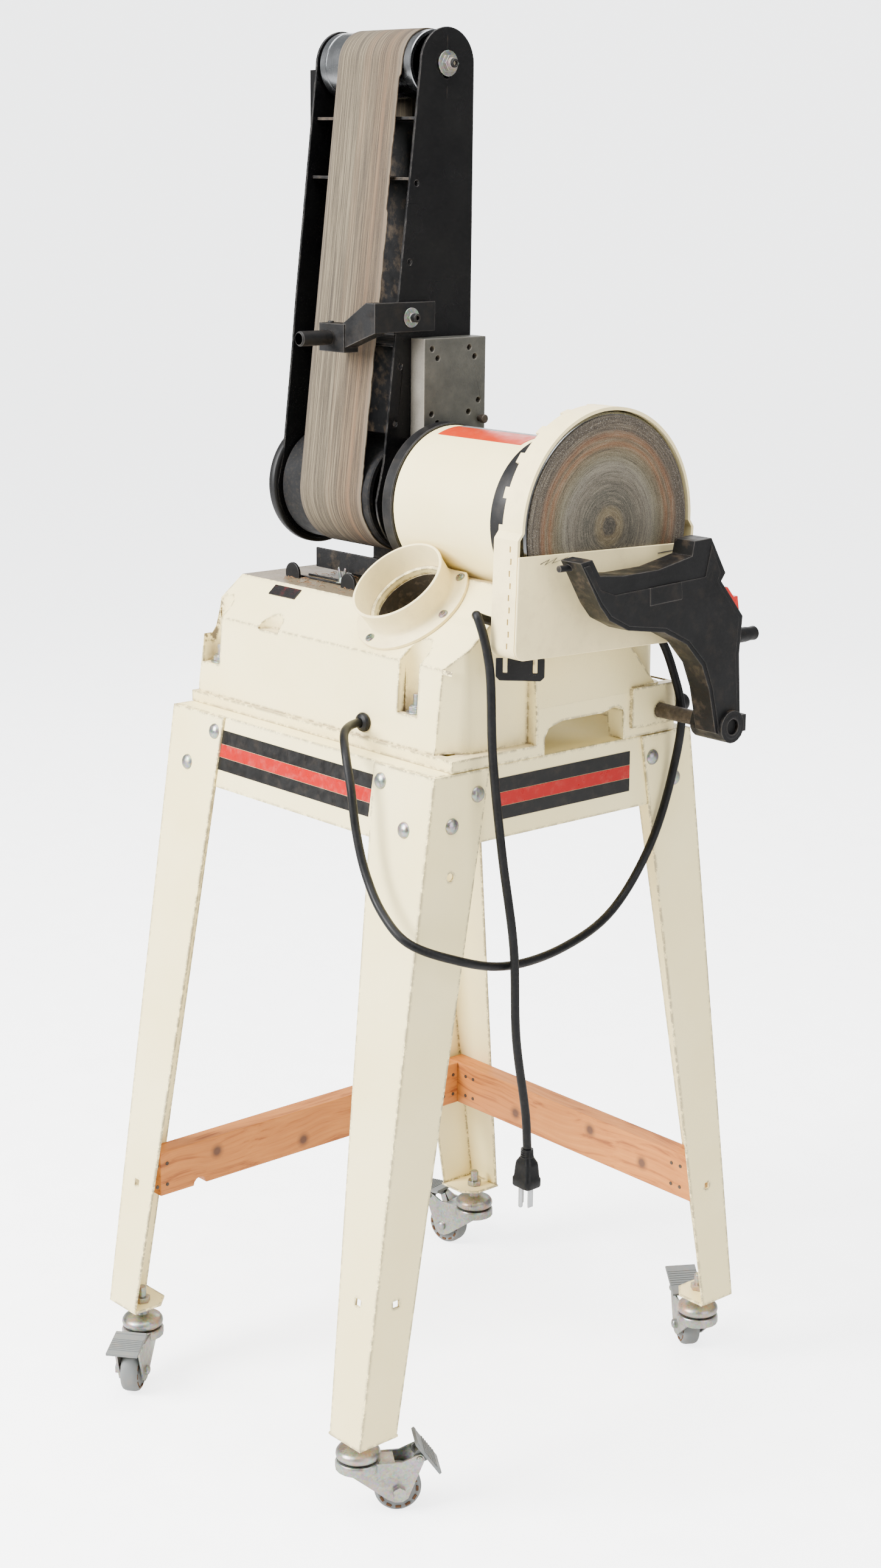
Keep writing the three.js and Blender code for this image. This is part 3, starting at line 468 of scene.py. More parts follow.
RED = plastic("red_plastic", (0.55, 0.02, 0.015), 0.32, (0.3, 0.02, 0.02), 0.2)
ORANGE = plastic("orange_label", (0.42, 0.022, 0.0), 0.35, (0.45, 0.12, 0.05), 0.2)
LABEL_GREY = plastic("grey_label", (0.17, 0.17, 0.172), 0.4, (0.2, 0.2, 0.2), 0.3)
STRIPE_RED = plastic("stripe_red", (0.36, 0.0015, 0.001), 0.33, (0.75, 0.3, 0.25), 0.12)
STRIPE_BLACK = plastic("stripe_black", (0.004, 0.0038, 0.0036), 0.35, (0.04, 0.03, 0.022), 0.3)
BADGE = plastic("badge_blank", (0.009, 0.008, 0.008), 0.3, (0.16, 0.01, 0.01), 0.3)
# Near-black matte: painted shade for a narrow groove
GROOVE_SHADE = plastic("groove_painted_shade", (0.006, 0.0055, 0.005), 0.9, (0.05, 0.035, 0.025), 0.4)
COPPER = plastic("varnished_copper", (0.30, 0.12, 0.05), 0.35, (0.15, 0.06, 0.03), 0.4)
# Near-black dusty brown for the duct: dust, and painted shade inside the dust port
DUCT_DUST_AND_SHADE = plastic("duct_dust_and_painted_shade", (0.022, 0.016, 0.009), 0.9, (0.075, 0.055, 0.035), 0.8)
# Rust brown for the wheel slots: rust, and painted shade inside the slots
SLOT_RUST_AND_SHADE = plastic("slot_rust_and_painted_shade", (0.10, 0.045, 0.018), 0.85, (0.03, 0.018, 0.01), 0.6)
STRAW = plastic("wood_strands", (0.19, 0.10, 0.045), 0.8, (0.1, 0.05, 0.02), 0.5)
PENCIL = plastic("pencil_line", (0.06, 0.058, 0.055), 0.6, (0.3, 0.27, 0.2), 0.5)


# ---------------------------------------------------------------- shapes
AXES = {
    "x": Matrix(((0, 0, 1, 0), (1, 0, 0, 0), (0, 1, 0, 0), (0, 0, 0, 1))),
    "y": Matrix(((0, 1, 0, 0), (0, 0, 1, 0), (1, 0, 0, 0), (0, 0, 0, 1))),
    "z": Matrix.Identity(4),
}


def towards(point, direction):
    """A placing matrix whose local Z points along direction from point, in stand millimetres."""
    return Matrix.Translation(point) @ Vector(direction).to_track_quat("Z", "Y").to_matrix().to_4x4()


def x_axis(x, y, z):
    return towards((x, y, z), (1, 0, 0))


def y_axis(x, y, z):
    return towards((x, y, z), (0, 1, 0))


def z_axis(x, y, z):
    return towards((x, y, z), (0, 0, 1))


SPINDLE = x_axis(0, 0, SPINDLE_Z)


def about_spindle(degrees):
    """A frame on the spindle's axis, turned about it."""
    return Matrix.Translation((0, 0, SPINDLE_Z)) @ Matrix.Rotation(math.radians(degrees), 4, "X")


def circle(u, v, radius, count=32, start=0.0, end=360.0):
    """Points along a circle, or along an arc from start to end, in degrees."""
    whole = end - start >= 360
    steps = count if whole else count - 1
    angles = [math.radians(start + (end - start) * i / steps) for i in range(count)]
    return [(u + radius * math.cos(a), v + radius * math.sin(a)) for a in angles]


class Shape:
    """Geometry gathered in stand millimetres, then turned into one piece."""

    def __init__(self):
        self.bm = bmesh.new()

    def lathe(self, profile, place, segments=64):
        """A closed profile of (radius, along) pairs turned about the local Z of place."""
        rows = []
        for i in range(segments):
            a = math.tau * i / segments
            row = [
                self.bm.verts.new(place @ Vector((r * math.cos(a), r * math.sin(a), h))) for r, h in profile
            ]
            rows.append(row)
        for a, b in zip(rows, rows[1:] + rows[:1]):
            for k in range(len(profile)):
                n = (k + 1) % len(profile)
                if profile[k][0] > 1e-6 or profile[n][0] > 1e-6:
                    self.bm.faces.new((a[k], b[k], b[n], a[n]))
        return self

    def prism(self, axis, outline, start, end, holes=(), place=None):
        """An outline in the plane across axis, with holes, drawn out along that axis."""
        turn = (place or Matrix.Identity(4)) @ AXES[axis]
        base = bmesh.new()
        edges = []
        for loop in (outline, *holes):
            verts = [base.verts.new((u, v, start)) for u, v in loop]
            edges += [base.edges.new((a, b)) for a, b in zip(verts, verts[1:] + verts[:1])]
        bmesh.ops.triangle_fill(base, use_beauty=True, use_dissolve=False, edges=edges)
        bmesh.ops.dissolve_limit(base, angle_limit=0.01, verts=base.verts[:], edges=base.edges[:])
        made = bmesh.ops.extrude_face_region(base, geom=base.faces[:])
        moved = [v for v in made["geom"] if isinstance(v, bmesh.types.BMVert)]
        bmesh.ops.translate(base, vec=(0, 0, end - start), verts=moved)
        bmesh.ops.transform(base, matrix=turn, verts=base.verts[:])
        self.absorb(base)
        return self

    def box(self, x, y, z, place=None):
        outline = [(x[0], y[0]), (x[1], y[0]), (x[1], y[1]), (x[0], y[1])]
        return self.prism("z", outline, z[0], z[1], place=place)

    def tube(self, points, radius, sides=12):
        """A round bar along points, capped at both ends. radius may be one value or one per point."""
        points = [Vector(p) for p in points]
        radii = radius if isinstance(radius, (list, tuple)) else [radius] * len(points)
        forward = [(b - a).normalized() for a, b in zip(points, points[1:])]
        tangents = [forward[0]] + [(a + b).normalized() for a, b in zip(forward, forward[1:])] + [forward[-1]]
        side = tangents[0].orthogonal().normalized()
        rows = []
        for point, tangent, r in zip(points, tangents, radii):
            side = (side - tangent * side.dot(tangent)).normalized()
            other = tangent.cross(side)
            angles = [math.tau * k / sides for k in range(sides)]
            ring = [point + r * (side * math.cos(a) + other * math.sin(a)) for a in angles]
            rows.append([self.bm.verts.new(v) for v in ring])
        for a, b in zip(rows, rows[1:]):
            for k in range(sides):
                n = (k + 1) % sides
                self.bm.faces.new((a[k], a[n], b[n], b[k]))
        self.bm.faces.new(list(reversed(rows[0])))
        self.bm.faces.new(rows[-1])
        return self

    def absorb(self, other):
        mesh = bpy.data.meshes.new("scratch")
        other.to_mesh(mesh)
        other.free()
        self.bm.from_mesh(mesh)
        bpy.data.meshes.remove(mesh)

    def piece(self, name, material, body="stand", slot=None, bevel=0.0, segments=2, sharp=32, replaces=()):
        bmesh.ops.remove_doubles(self.bm, verts=self.bm.verts[:], dist=1e-3)
        bmesh.ops.recalc_face_normals(self.bm, faces=self.bm.faces[:])
        for vertex in self.bm.verts:
            vertex.co = at(*vertex.co)
        mesh = bpy.data.meshes.new(name)
        self.bm.to_mesh(mesh)
        self.bm.free()
        made = bpy.data.objects.new(name, mesh)
        bpy.context.scene.collection.objects.link(made)
        mesh.materials.append(material)
        mesh.shade_smooth()
        mesh.set_sharp_from_angle(angle=math.radians(sharp))
        if bevel:
            round_edges(made, bevel, segments)
        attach(made, body)
        if replaces:
            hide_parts(*replaces)
        return made


def round_edges(thing, width, segments=2, weld=False):
    """Rounds the hard edges of a piece or of a CAD node, width in millimetres."""
    if weld:
        thing.modifiers.new("weld", "WELD").merge_threshold = 2e-5
        flat = thing.modifiers.new("planes", "DECIMATE")
        flat.decimate_type = "DISSOLVE"
        flat.angle_limit = math.radians(0.8)
    bevel = thing.modifiers.new("bevel", "BEVEL")
    bevel.width = width * 0.001
    bevel.segments = segments
    bevel.limit_method = "ANGLE"
    bevel.angle_limit = math.radians(40)
    bevel.use_clamp_overlap = True
    bevel.miter_outer = "MITER_ARC"
    smooth = thing.modifiers.new("normals", "WEIGHTED_NORMAL")
    smooth.keep_sharp = not weld


def dress(name, material, width=0.8, segments=2):
    """Gives a CAD node that stays in view its material and rounded edges."""
    thing = nodes[name]
    thing.data.materials.clear()
    thing.data.materials.append(material)
    if width:
        for polygon in thing.data.polygons:
            polygon.use_smooth = True
        round_edges(thing, width, segments, weld=True)


# ---------------------------------------------------------------- fasteners
def dome(shape, point, direction, radius=8.6, height=4.6):
    """A carriage bolt's smooth head."""
    angles = [math.radians(15 * k) for k in range(1, 7)]
    profile = [(0, height)] + [(radius * math.sin(a), height * math.cos(a)) for a in angles]
    shape.lathe(profile + [(radius * 0.96, -0.4), (0, -0.4)], towards(point, direction), 28)


def hex_head(shape, point, direction, radius=7.5, height=5, washer=0.0, turn=0):
    place = towards(point, direction) @ Matrix.Rotation(math.radians(turn), 4, "Z")
    if washer:
        shape.lathe([(0, 0), (washer, 0), (washer, 1.6), (0, 1.6)], place, 28)
    base = 1.6 if washer else 0
    shape.prism("z", circle(0, 0, radius, 6), base, base + height * 0.8, place=place)
    shape.lathe(
        [(0, base), (radius * 0.86, base), (radius * 0.78, base + height), (0, base + height)], place, 24
    )


def pan_head(shape, point, direction, radius=5, height=2.8, turn=20):
    """A cross-slotted screw: a low dome with its cross cut by four raised quarters."""
    place = towards(point, direction) @ Matrix.Rotation(math.radians(turn), 4, "Z")
    rim = [
        (0, -0.3), (radius, -0.3), (radius, height * 0.35), (radius * 0.86, height * 0.68),
        (radius * 0.62, height * 0.78), (0, height * 0.78),
    ]
    shape.lathe(rim, place, 24)
    for quarter in range(4):
        turned = place @ Matrix.Rotation(math.radians(90 * quarter), 4, "Z")
        g = radius * 0.12
        r = radius * 0.6
        outline = [(g, g), (r, g), (r * 0.78, r * 0.62), (r * 0.62, r * 0.78), (g, r)]
        shape.prism("z", outline, height * 0.7, height, place=turned)


def socket_head(shape, point, direction, radius=5, height=5):
    profile = [
        (0, 0), (radius, 0), (radius, height - 0.6), (radius - 0.6, height),
        (radius * 0.55, height), (radius * 0.5, height * 0.4), (0, height * 0.4),
    ]
    shape.lathe(profile, towards(point, direction), 28)


# ---------------------------------------------------------------- the stand
def leg_corner(z):
    t = (STAND_TOP_Z - z) / (STAND_TOP_Z - LEG_BOTTOM_Z)
    return tuple(top + (bottom - top) * t for top, bottom in zip(LEG_TOP, LEG_BOTTOM))


SPLAY_Y = (LEG_BOTTOM[1] - LEG_TOP[1]) / (STAND_TOP_Z - LEG_BOTTOM_Z)
SPLAY_X = (LEG_BOTTOM[0] - LEG_TOP[0]) / (STAND_TOP_Z - LEG_BOTTOM_Z)

dress("stand_top", CREAM, 1.2)
for corner in CORNERS:
    dress(f"leg_{corner}", CREAM, 1.2)

leg_bolts = Shape()
for sx, sy in CORNERS.values():
    for x, z in ((143, 770), (187, 728)):
        dome(leg_bolts, (sx * x, sy * leg_corner(z)[1], z), (0, sy, SPLAY_Y))
    for y, z in ((127, 762), (162, 734)):
        dome(leg_bolts, (sx * leg_corner(z)[0], sy * y, z), (sx, 0, SPLAY_X))
leg_bolts.piece("leg_carriage_bolts", ZINC_BRIGHT, slot="zinc")


def apron_band(shape, along, u0, u1, z0, z1, sign):
    """A thin strip lying on an apron: along x on the front and back, along y on the sides."""
    corners = []
    for z in (z0, z1):
        x, y = (v - SHEET - 0.4 for v in leg_corner(z))
        for proud in (0.05, 0.45):
            for u in (u0, u1):
                corners.append((u, sign * (y + proud), z) if along == "x" else (sign * (x + proud), u, z))
    verts = [shape.bm.verts.new(c) for c in corners]
    for face in ((0, 1, 3, 2), (4, 6, 7, 5), (0, 4, 5, 1), (2, 3, 7, 6), (0, 2, 6, 4), (1, 5, 7, 3)):
        shape.bm.faces.new([verts[k] for k in face])


STRIPES = (
    ("lower_black", 729, 743, STRIPE_BLACK),
    ("red", 743.4, 757.6, STRIPE_RED),
    ("upper_black", 758, 773, STRIPE_BLACK),
)
for label, z0, z1, finish in STRIPES:
    band = Shape()
    for sign in (-1, 1):
        apron_band(band, "x", -139, 127, z0, z1, sign)
        apron_band(band, "y", -97, 95, z0, z1, sign)
    band.piece(f"apron_stripe_{label}", finish, slot="cream_paint")

nail_heads = Shape()
rail_low, rail_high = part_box("rail_left")
rail_x = rail_high.x * 1000 + DISC_OUT
rail_z = (rail_low.z + rail_high.z) * 500 + SPINDLE_Z
back_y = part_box("rail_rear")[0].y * 1000
nails = [(rail_x, y, (1, 0, 0)) for y in (-236, -222, 208, 224)]
nails += [(x, back_y, (0, -1, 0)) for x in (-186, -172, 176, 190)]
for x, y, outwards in nails:
    for rise in (-14, 12):
        place = towards((x, y, rail_z + rise), outwards)
        nail_heads.lathe([(0, -0.4), (2.4, -0.4), (2.2, 0.5), (0, 0.7)], place, 14)
nail_heads.piece("rail_nails", RUSTY, slot="zinc")
left_knots = [at(rail_x, y, rail_z + z) for y, z in ((-150, 8), (-20, -12), (118, 6))]
rear_knots = [at(x, back_y, rail_z + z) for x, z in ((-92, -9), (40, 10), (128, -4))]
dress("rail_left", pine("pine_left", 1, left_knots), 1.0)
dress("rail_rear", pine("pine_rear", 0, rear_knots), 1.0)

# ---------------------------------------------------------------- casters
for corner, (sx, sy) in CORNERS.items():
    dress(f"caster_fork_{corner}", ZINC, 0.6)
    dress(f"caster_pedal_{corner}", GREY, 0.8)
    turn = Matrix.Rotation(math.radians(CASTER_TURN[corner]), 4, "Z")
    stem = Matrix.Translation((sx * CASTER[0], sy * CASTER[1], CASTER[2])) @ turn
    caps = Shape()
    race = [(0, 60.2), (17, 60.2), (20, 61), (23.2, 63.4), (24, 66.4), (23.6, 69), (22, 71.6), (19, 73.4)]
    caps.lathe(race + [(14, 74.8), (9, 76), (7.5, 76.6), (7.5, 87.4), (0, 87.4)], stem, 64)
    caps.lathe([(0, 70), (5, 70), (5, 109), (4.2, 110), (0, 110)], stem, 32)
    caps.prism("z", circle(0, 0, 9.5, 6), 90.9, 97, place=stem)
    caps.piece(
        f"caster_race_{corner}", ZINC_RUSTY, slot="zinc", bevel=0.4, sharp=50,
        replaces=[f"caster_stem_{corner}"]
    )
    ribs = Shape()
    pitch = Matrix.Rotation(math.radians(PEDAL_PITCH[corner]), 4, "Y")
    pedal = stem @ Matrix.Translation((PEDAL[0], 0, PEDAL[1])) @ pitch
    for k in range(7):
        x = -4 + k * 3.4
        ribs.box((x, x + 1.5), (-18, 18), (9.3, 10.4), place=pedal)
    ribs.box((-18, -14), (-18, 18), (9.3, 10.2), place=pedal)
    ribs.piece(f"pedal_ribs_{corner}", GREY, f"pedal_{corner}", "grey_plastic", 0.3)
    flank = [(4.6, 11), (9, 11), (11, 9), (19.4, 9), (20.6, 9.8), (22, 10), (24, 8.6), (25, 6.4), (25.4, 4)]
    profile = [(r, -h) for r, h in flank] + flank[::-1]
    tyre = Shape().lathe(profile, stem @ y_axis(WHEEL[0], 0, WHEEL[1]), 64)
    tyre.piece(
        f"wheel_tyre_{corner}", GREY, f"wheel_{corner}", "grey_plastic", replaces=[f"caster_wheel_{corner}"]
    )
    # Dark rust-brown insets on the wheel faces: rust, and painted shade standing in for the slots' openings
    slots = Shape()
    for k in range(12):
        a = math.radians(30 * k)
        for side in (-1, 1):
            centre = Vector((WHEEL[0] + 20.2 * math.cos(a), side * 9.7, WHEEL[1] + 20.2 * math.sin(a)))
            spin = Matrix.Translation(centre) @ Matrix.Rotation(-a, 4, "Y")
            slots.box((-1.3, 1.3), (-0.55, 0.55), (-3, 3), place=stem @ spin)
    slots.piece(f"wheel_slots_{corner}", SLOT_RUST_AND_SHADE, f"wheel_{corner}", "grey_plastic", 0.2)
    rivets = Shape()
    for side in (-1, 1):
        out = turn @ Vector((0, side, 0))
        dome(rivets, stem @ Vector((PEDAL[0], side * 16.4, PEDAL[1])), out, 3.6, 1.6)
        dome(rivets, stem @ Vector((WHEEL[0], side * 17.4, WHEEL[1])), out, 5.5, 2.4)
    rivets.piece(f"fork_rivets_{corner}", ZINC_BRIGHT, f"fork_{corner}", "zinc")


# ---------------------------------------------------------------- base casting
def slope_place(x, up):
    """A frame on the front slope: local X along the casting, local Y up the slope, local Z out of it."""
    angle = math.atan(SLOPE)
    point = Vector((x, -WALL_Y + up * math.cos(angle), WALL_TOP_Z + up * math.sin(angle)))
    return Matrix.Translation(point) @ Matrix.Rotation(angle, 4, "X")


dress("base_casting", CREAM_DUST_AND_SHADE, 1.4, 3)
base_bolts = Shape()
for x in (-195, 143):
    spot = (x, -139, 834)
    hex_head(base_bolts, spot, (0, 0, 1), 9.5, 7, washer=12, turn=12)
    base_bolts.lathe([(0, 8), (4.6, 8), (4.6, 20), (0, 20)], z_axis(*spot), 20)
hex_head(base_bolts, (209, 124, 842), (0, 0, 1), 9, 7, washer=13, turn=25)
base_bolts.piece("base_bolts", ZINC, slot="zinc", bevel=0.4)

boss_pad = Shape().lathe([(0, -1), (17, -1), (16, 2.5), (0, 2.5)], z_axis(209, 124, 841.6), 40)
boss_pad.piece("boss_bolt_seat", CREAM, slot="cream_paint", bevel=0.6)

grommet = Shape().lathe(
    [(4.7, 0), (10, 0), (10.4, 2.5), (9, 5), (6, 6.5), (4.7, 6.5)], towards((77, -155.2, 815), (0, -1, 0)), 40
)
grommet.piece("cord_grommet", CORD, slot="rubber", bevel=0.4)

badge = Shape().prism("z", [(-23, -7), (23, -7), (23, 7), (-23, 7)], 0.2, 1.3, place=slope_place(-113.5, 51))
badge.piece("badge_plate", BADGE, slot="black_paint", bevel=0.3)

TAB_Z = PLATFORM_Z + 0.2  # just clear of the platform
tabs = Shape()
for x in (-150, -52):
    outline = [(x - 12, TAB_Z)] + circle(x, 934, 12, 17, 180, 0) + [(x + 12, TAB_Z)]
    tabs.prism("y", [(z, u) for u, z in outline], -73, -70)
for y in (-64, -50):
    tabs.box((-150, -18), (y, y + 3), (TAB_Z, TAB_Z + 2))
tabs.piece("platform_tabs", BLACK_DULL, slot="black_paint", bevel=0.5)

wing = Shape().lathe([(0, 0), (7, 0), (7, 1.2), (4.4, 1.2), (3.6, 6), (0, 6)], z_axis(-77, -60, 931.4), 28)
for side in (-1, 1):
    outline = [
        (934, side * 2), (935, side * 5.4), (947, side * 7), (948.5, side * 5), (944, side * 3),
        (937, side * 1)
    ]
    wing.prism("y", [(z, u - 77) for z, u in outline], -61, -59.2)
wing.piece("platform_wing_screw", ZINC, slot="zinc", bevel=0.5)

strands = Shape()
for _ in range(70):
    x = random.uniform(-150, 5)
    y = random.uniform(-94, -20)
    turn = random.uniform(0, math.tau)
    length = random.uniform(4, 11)
    step = Vector((math.cos(turn), math.sin(turn), 0)) * length
    start = Vector((x, y, TAB_Z + 0.5))
    middle = start + step * 0.5 + Vector((0, 0, random.uniform(0.4, 2.2)))
    strands.tube([start, middle, start + step], 0.35, 4)
strands.piece("wood_strands", STRAW, slot="pine")

# ---------------------------------------------------------------- dust port
port_place = slope_place(*PORT_CENTRE)


def carve(shape, *cutters):
    """Takes solid cutters out of a shape and returns what is left as a new shape."""
    made = []
    for part in (shape, *cutters):
        bmesh.ops.remove_doubles(part.bm, verts=part.bm.verts[:], dist=1e-3)
        bmesh.ops.recalc_face_normals(part.bm, faces=part.bm.faces[:])
        mesh = bpy.data.meshes.new("scratch")
        part.bm.to_mesh(mesh)
        part.bm.free()
        made.append(bpy.data.objects.new("scratch", mesh))
        bpy.context.scene.collection.objects.link(made[-1])
    target = made[0]
    for cutter in made[1:]:
        carving = target.modifiers.new("cut", "BOOLEAN")
        carving.operation = "DIFFERENCE"
        carving.solver = "EXACT"
        carving.object = cutter
    depsgraph = bpy.context.evaluated_depsgraph_get()
    result = Shape()
    mesh = bpy.data.meshes.new_from_object(target.evaluated_get(depsgraph))
    result.bm.from_mesh(mesh)
    bpy.data.meshes.remove(mesh)
    for thing in made:
        spare = thing.data
        bpy.data.objects.remove(thing)
        bpy.data.meshes.remove(spare)
    bmesh.ops.dissolve_limit(result.bm, angle_limit=0.005, verts=result.bm.verts[:], edges=result.bm.edges[:])
    return result


def motor_clearance():
    return Shape().lathe([(0, 0), (RING_RADIUS + 1.2, 0), (RING_RADIUS + 1.2, 240), (0, 240)], SPINDLE, 96)


port = Shape().lathe(
    [
        (44, 0.4), (66, 0.4), (66, 3.6), (65.4, 4), (53.5, 4.6), (51.4, 6.5), (50.8, 10), (52, 31),
        (53, 33.2), (53, 35.2), (52, 36), (50.2, 35.6), (49.6, 33), (48, 9), (47, 6.5), (44, 6)
    ],
    port_place, 112
)
carve(port, motor_clearance()).piece(
    "dust_port_shell", CREAM_PLASTIC, slot="cream_plastic", sharp=40, replaces=["dust_port"]
)
port_ring = Shape().lathe([(42.5, 1), (47, 1), (47, 8), (45.5, 9), (42.5, 8)], port_place, 96)
port_ring.piece("dust_port_inner_ring", CREAM_DUST_AND_SHADE, slot="cream_paint", bevel=0.3)
# A duct below the port, coloured near black so that it paints the shade inside the port as well as its dust
duct = Shape().lathe([(41, 0.2), (41.8, 0.2), (36, -34), (35, -34)], port_place, 96)
duct.piece("dust_duct_liner", DUCT_DUST_AND_SHADE, slot="black_cast")
port_screws = Shape()
for turn in (-8, 45, 165, 255):
    a = math.radians(turn)
    spot = port_place @ Vector((58.5 * math.cos(a), 58.5 * math.sin(a), 4))
    pan_head(port_screws, spot, port_place.to_3x3() @ Vector((0, 0, 1)), 5.2, 3)
port_screws.piece("dust_port_screws", ZINC_BRIGHT, slot="zinc")

# ---------------------------------------------------------------- motor, drum and disc
body = Shape().lathe(
    [(76, 34), (80.2, 34), (MOTOR_RADIUS, 34.8), (MOTOR_RADIUS, 186.2), (80.2, 187), (76, 187)], SPINDLE, 128
)
body.piece("motor_shell", CREAM_SMOOTH, slot="cream_paint", replaces=["motor_body"])
left_bell = Shape().lathe(
    [
        (10.6, -5), (29, -5), (30, -4), (30, 18), (82.5, 18), (RING_RADIUS, 19), (RING_RADIUS, 32.6),
        (82.5, 33.6), (20.6, 33.6), (20.6, 21), (10.6, 21)
    ],
    SPINDLE, 128
)
left_bell.piece("motor_bell_left", CASTING_CLEAN, slot="black_paint", replaces=["motor_end_left"])
right_bell = Shape().lathe(
    [
        (20.6, 187.4), (82.7, 187.4), (RING_RADIUS, 188.2), (RING_RADIUS, 212), (82, 215.5), (76, 233),
        (73, 235), (10.6, 235), (10.6, 204), (20.6, 204)
    ],
    SPINDLE, 128
)
right_bell.piece("motor_bell_right", CASTING_CLEAN, slot="black_paint", replaces=["motor_end_right"])
dress("motor_stator", COPPER, 0)
for side in ("left", "right"):
    dress(f"bearing_{side}", STEEL, 0.4)
dress("motor_shaft", STEEL, 0.4)


def curved_patch(x0, x1, a0, a1, radius, thick, steps=24):
    """A thin plate wrapped on a cylinder about the spindle. Angles go from the front (-Y) up over the top."""
    shape = Shape()
    rows = []
    for i in range(steps + 1):
        a = math.radians(a0 + (a1 - a0) * i / steps)
        row = []
        for r in (radius, radius + thick):
            for x in (x0, x1):
                row.append(shape.bm.verts.new((x, -r * math.cos(a), SPINDLE_Z + r * math.sin(a))))
        rows.append(row)
    for a, b in zip(rows, rows[1:]):
        for i, j in ((0, 1), (1, 3), (3, 2), (2, 0)):
            shape.bm.faces.new((a[i], b[i], b[j], a[j]))
    for row in (rows[0], rows[-1]):
        shape.bm.faces.new((row[0], row[1], row[3], row[2]))
    return shape


curved_patch(48, 176, 67, 88, MOTOR_RADIUS + 0.05, 0.3).piece(
    "motor_label_orange", ORANGE, slot="red_plastic"
)
curved_patch(48, 176, 88.4, 118, MOTOR_RADIUS + 0.05, 0.3).piece(
    "motor_label_grey", LABEL_GREY, slot="grey_plastic"
)

drum = Shape().lathe(
    [
        (9.4, -176), (18, -176), (18, -112), (56, -112), (56, -181.5), (60.6, -181.5),
        (DRIVE_RADIUS, -180), (DRIVE_RADIUS, -31.5), (60.6, -30), (56, -30), (56, -100), (18, -100),
        (18, -34), (9.4, -34)
    ],
    SPINDLE, 128
)
drum.piece("drive_drum_tyre", RUBBER, "spindle", "rubber", replaces=["drive_drum"])
plate = Shape().lathe(
    [
        (0, 262.4), (9.4, 262.4), (9.4, 236), (20, 236), (24, 256), (112.8, 260), (DISC_RADIUS, 261.2),
        (DISC_RADIUS, 270), (112.2, 272), (0, 272)
    ],
    SPINDLE, 160
)
plate.piece("disc_plate_turned", TURNED, "spindle", "aluminium", replaces=["disc_plate"])
paper = Shape().lathe(
    [(0, 272.2), (111.6, 272.2), (111.6, 273.6), (111.2, 273.8), (19.4, 273.8), (18.6, 274), (0, 274)],
    SPINDLE, 160
)
paper.piece("abrasive_disc_sheet", DISC, "spindle", "abrasive", replaces=["abrasive_disc"])

# ---------------------------------------------------------------- disc guard
LEAN = about_spindle(GUARD_LEAN) @ Matrix.Translation((0, 0, -SPINDLE_Z))


def guard_outline(inset):
    r, w, low = GUARD_RADIUS - inset, 125 - inset, 903 + inset
    top = circle(0, SPINDLE_Z, r, 97, 0, 180)
    corner = []
    for u, v, start in ((-w + 12, low + 12, 180), (w - 12, low + 12, 270)):
        corner += circle(u, v, 12, 9, start, start + 90)
    return top + [(-w, 1022)] + corner + [(w, 1022)]


shell = Shape().prism("x", guard_outline(0), 240, 274, place=LEAN)
front_hollow = Shape().prism("x", guard_outline(3.5), 249, 275, place=LEAN)
back_hollow = Shape().prism("x", guard_outline(7), 239, 246.5, place=LEAN)
notches = Shape()
for k in range(10):
    notches.box((239, 245.4), (106, 130), (-13, 13), place=LEAN @ about_spindle(9 + 18 * k))
for k in range(9):
    x = 262.6 + 1.6 * (k % 2)
    notches.box((x, x + 2), (-130, -118), (914 + 12 * k, 920 + 12 * k), place=LEAN)
shaft_hole = Shape().lathe([(0, 215), (26, 215), (26, 260), (0, 260)], SPINDLE, 48)
guard = carve(shell, front_hollow, back_hollow, notches, shaft_hole)
guard.piece("guard_shell", CREAM_PLASTIC, slot="cream_plastic", bevel=0.8, sharp=24, replaces=["disc_guard"])
corners = circle(-113, 915, 12, 9, 180, 270) + circle(113, 915, 12, 9, 270, 360)
cover_outline = [(-125, 1006.5), *corners, (125, 1006.5)]
cover = Shape().prism("x", cover_outline, 274.4, 276.8, place=LEAN)
cover.piece("guard_cover_plate", CREAM_PLASTIC, slot="cream_plastic", bevel=0.9, replaces=["guard_cover"])
pencil = Shape()
for points in (
    [(-96, 998), (-84, 1002), (-90, 997), (-74, 1003), (-80, 998), (-58, 1003), (-66, 1000)],
    [(70, 998), (118, 1001)],
):
    spine = [LEAN @ Vector((276.9, u, v)) for u, v in points]
    pencil.tube(spine, 0.5, 5)
pencil.piece("cover_pencil_marks", PENCIL, slot="cream_plastic")
dress("guard_bracket", BLACK_DULL, 0.6)
dress("dust_channel", CASTING, 0.8)

# ---------------------------------------------------------------- belt arm
TAIL_RADIUS = 66
HEAD_RADIUS = 37


def arm_outline():
    tail = circle(0, SPINDLE_Z, TAIL_RADIUS, 65, 180, 360)
    head = circle(IDLER[0] + 1, IDLER[1], HEAD_RADIUS, 49, 0, 180)
    return tail + head + [(-38, 1233), (-44, 1173), (-56, 1069)]


def axle_slot():
    y, z = IDLER
    return circle(y, z + 1, 6.6, 13, 0, 180) + circle(y, z - 9, 6.6, 13, 180, 360)


small_holes = [circle(y, z, 3, 20) for y, z in ((-13, 1360), (-22, 1279), (-34, 1170), (-41, 1110))]
right_plate = Shape().prism(
    "x", arm_outline(), -13.8, -10.8, [axle_slot(), circle(0, SPINDLE_Z, 31, 48), *small_holes]
)
right_plate.piece("arm_cheek_right", BLACK, "belt_arm", "black_paint", 0.7, replaces=["arm_plate_right"])
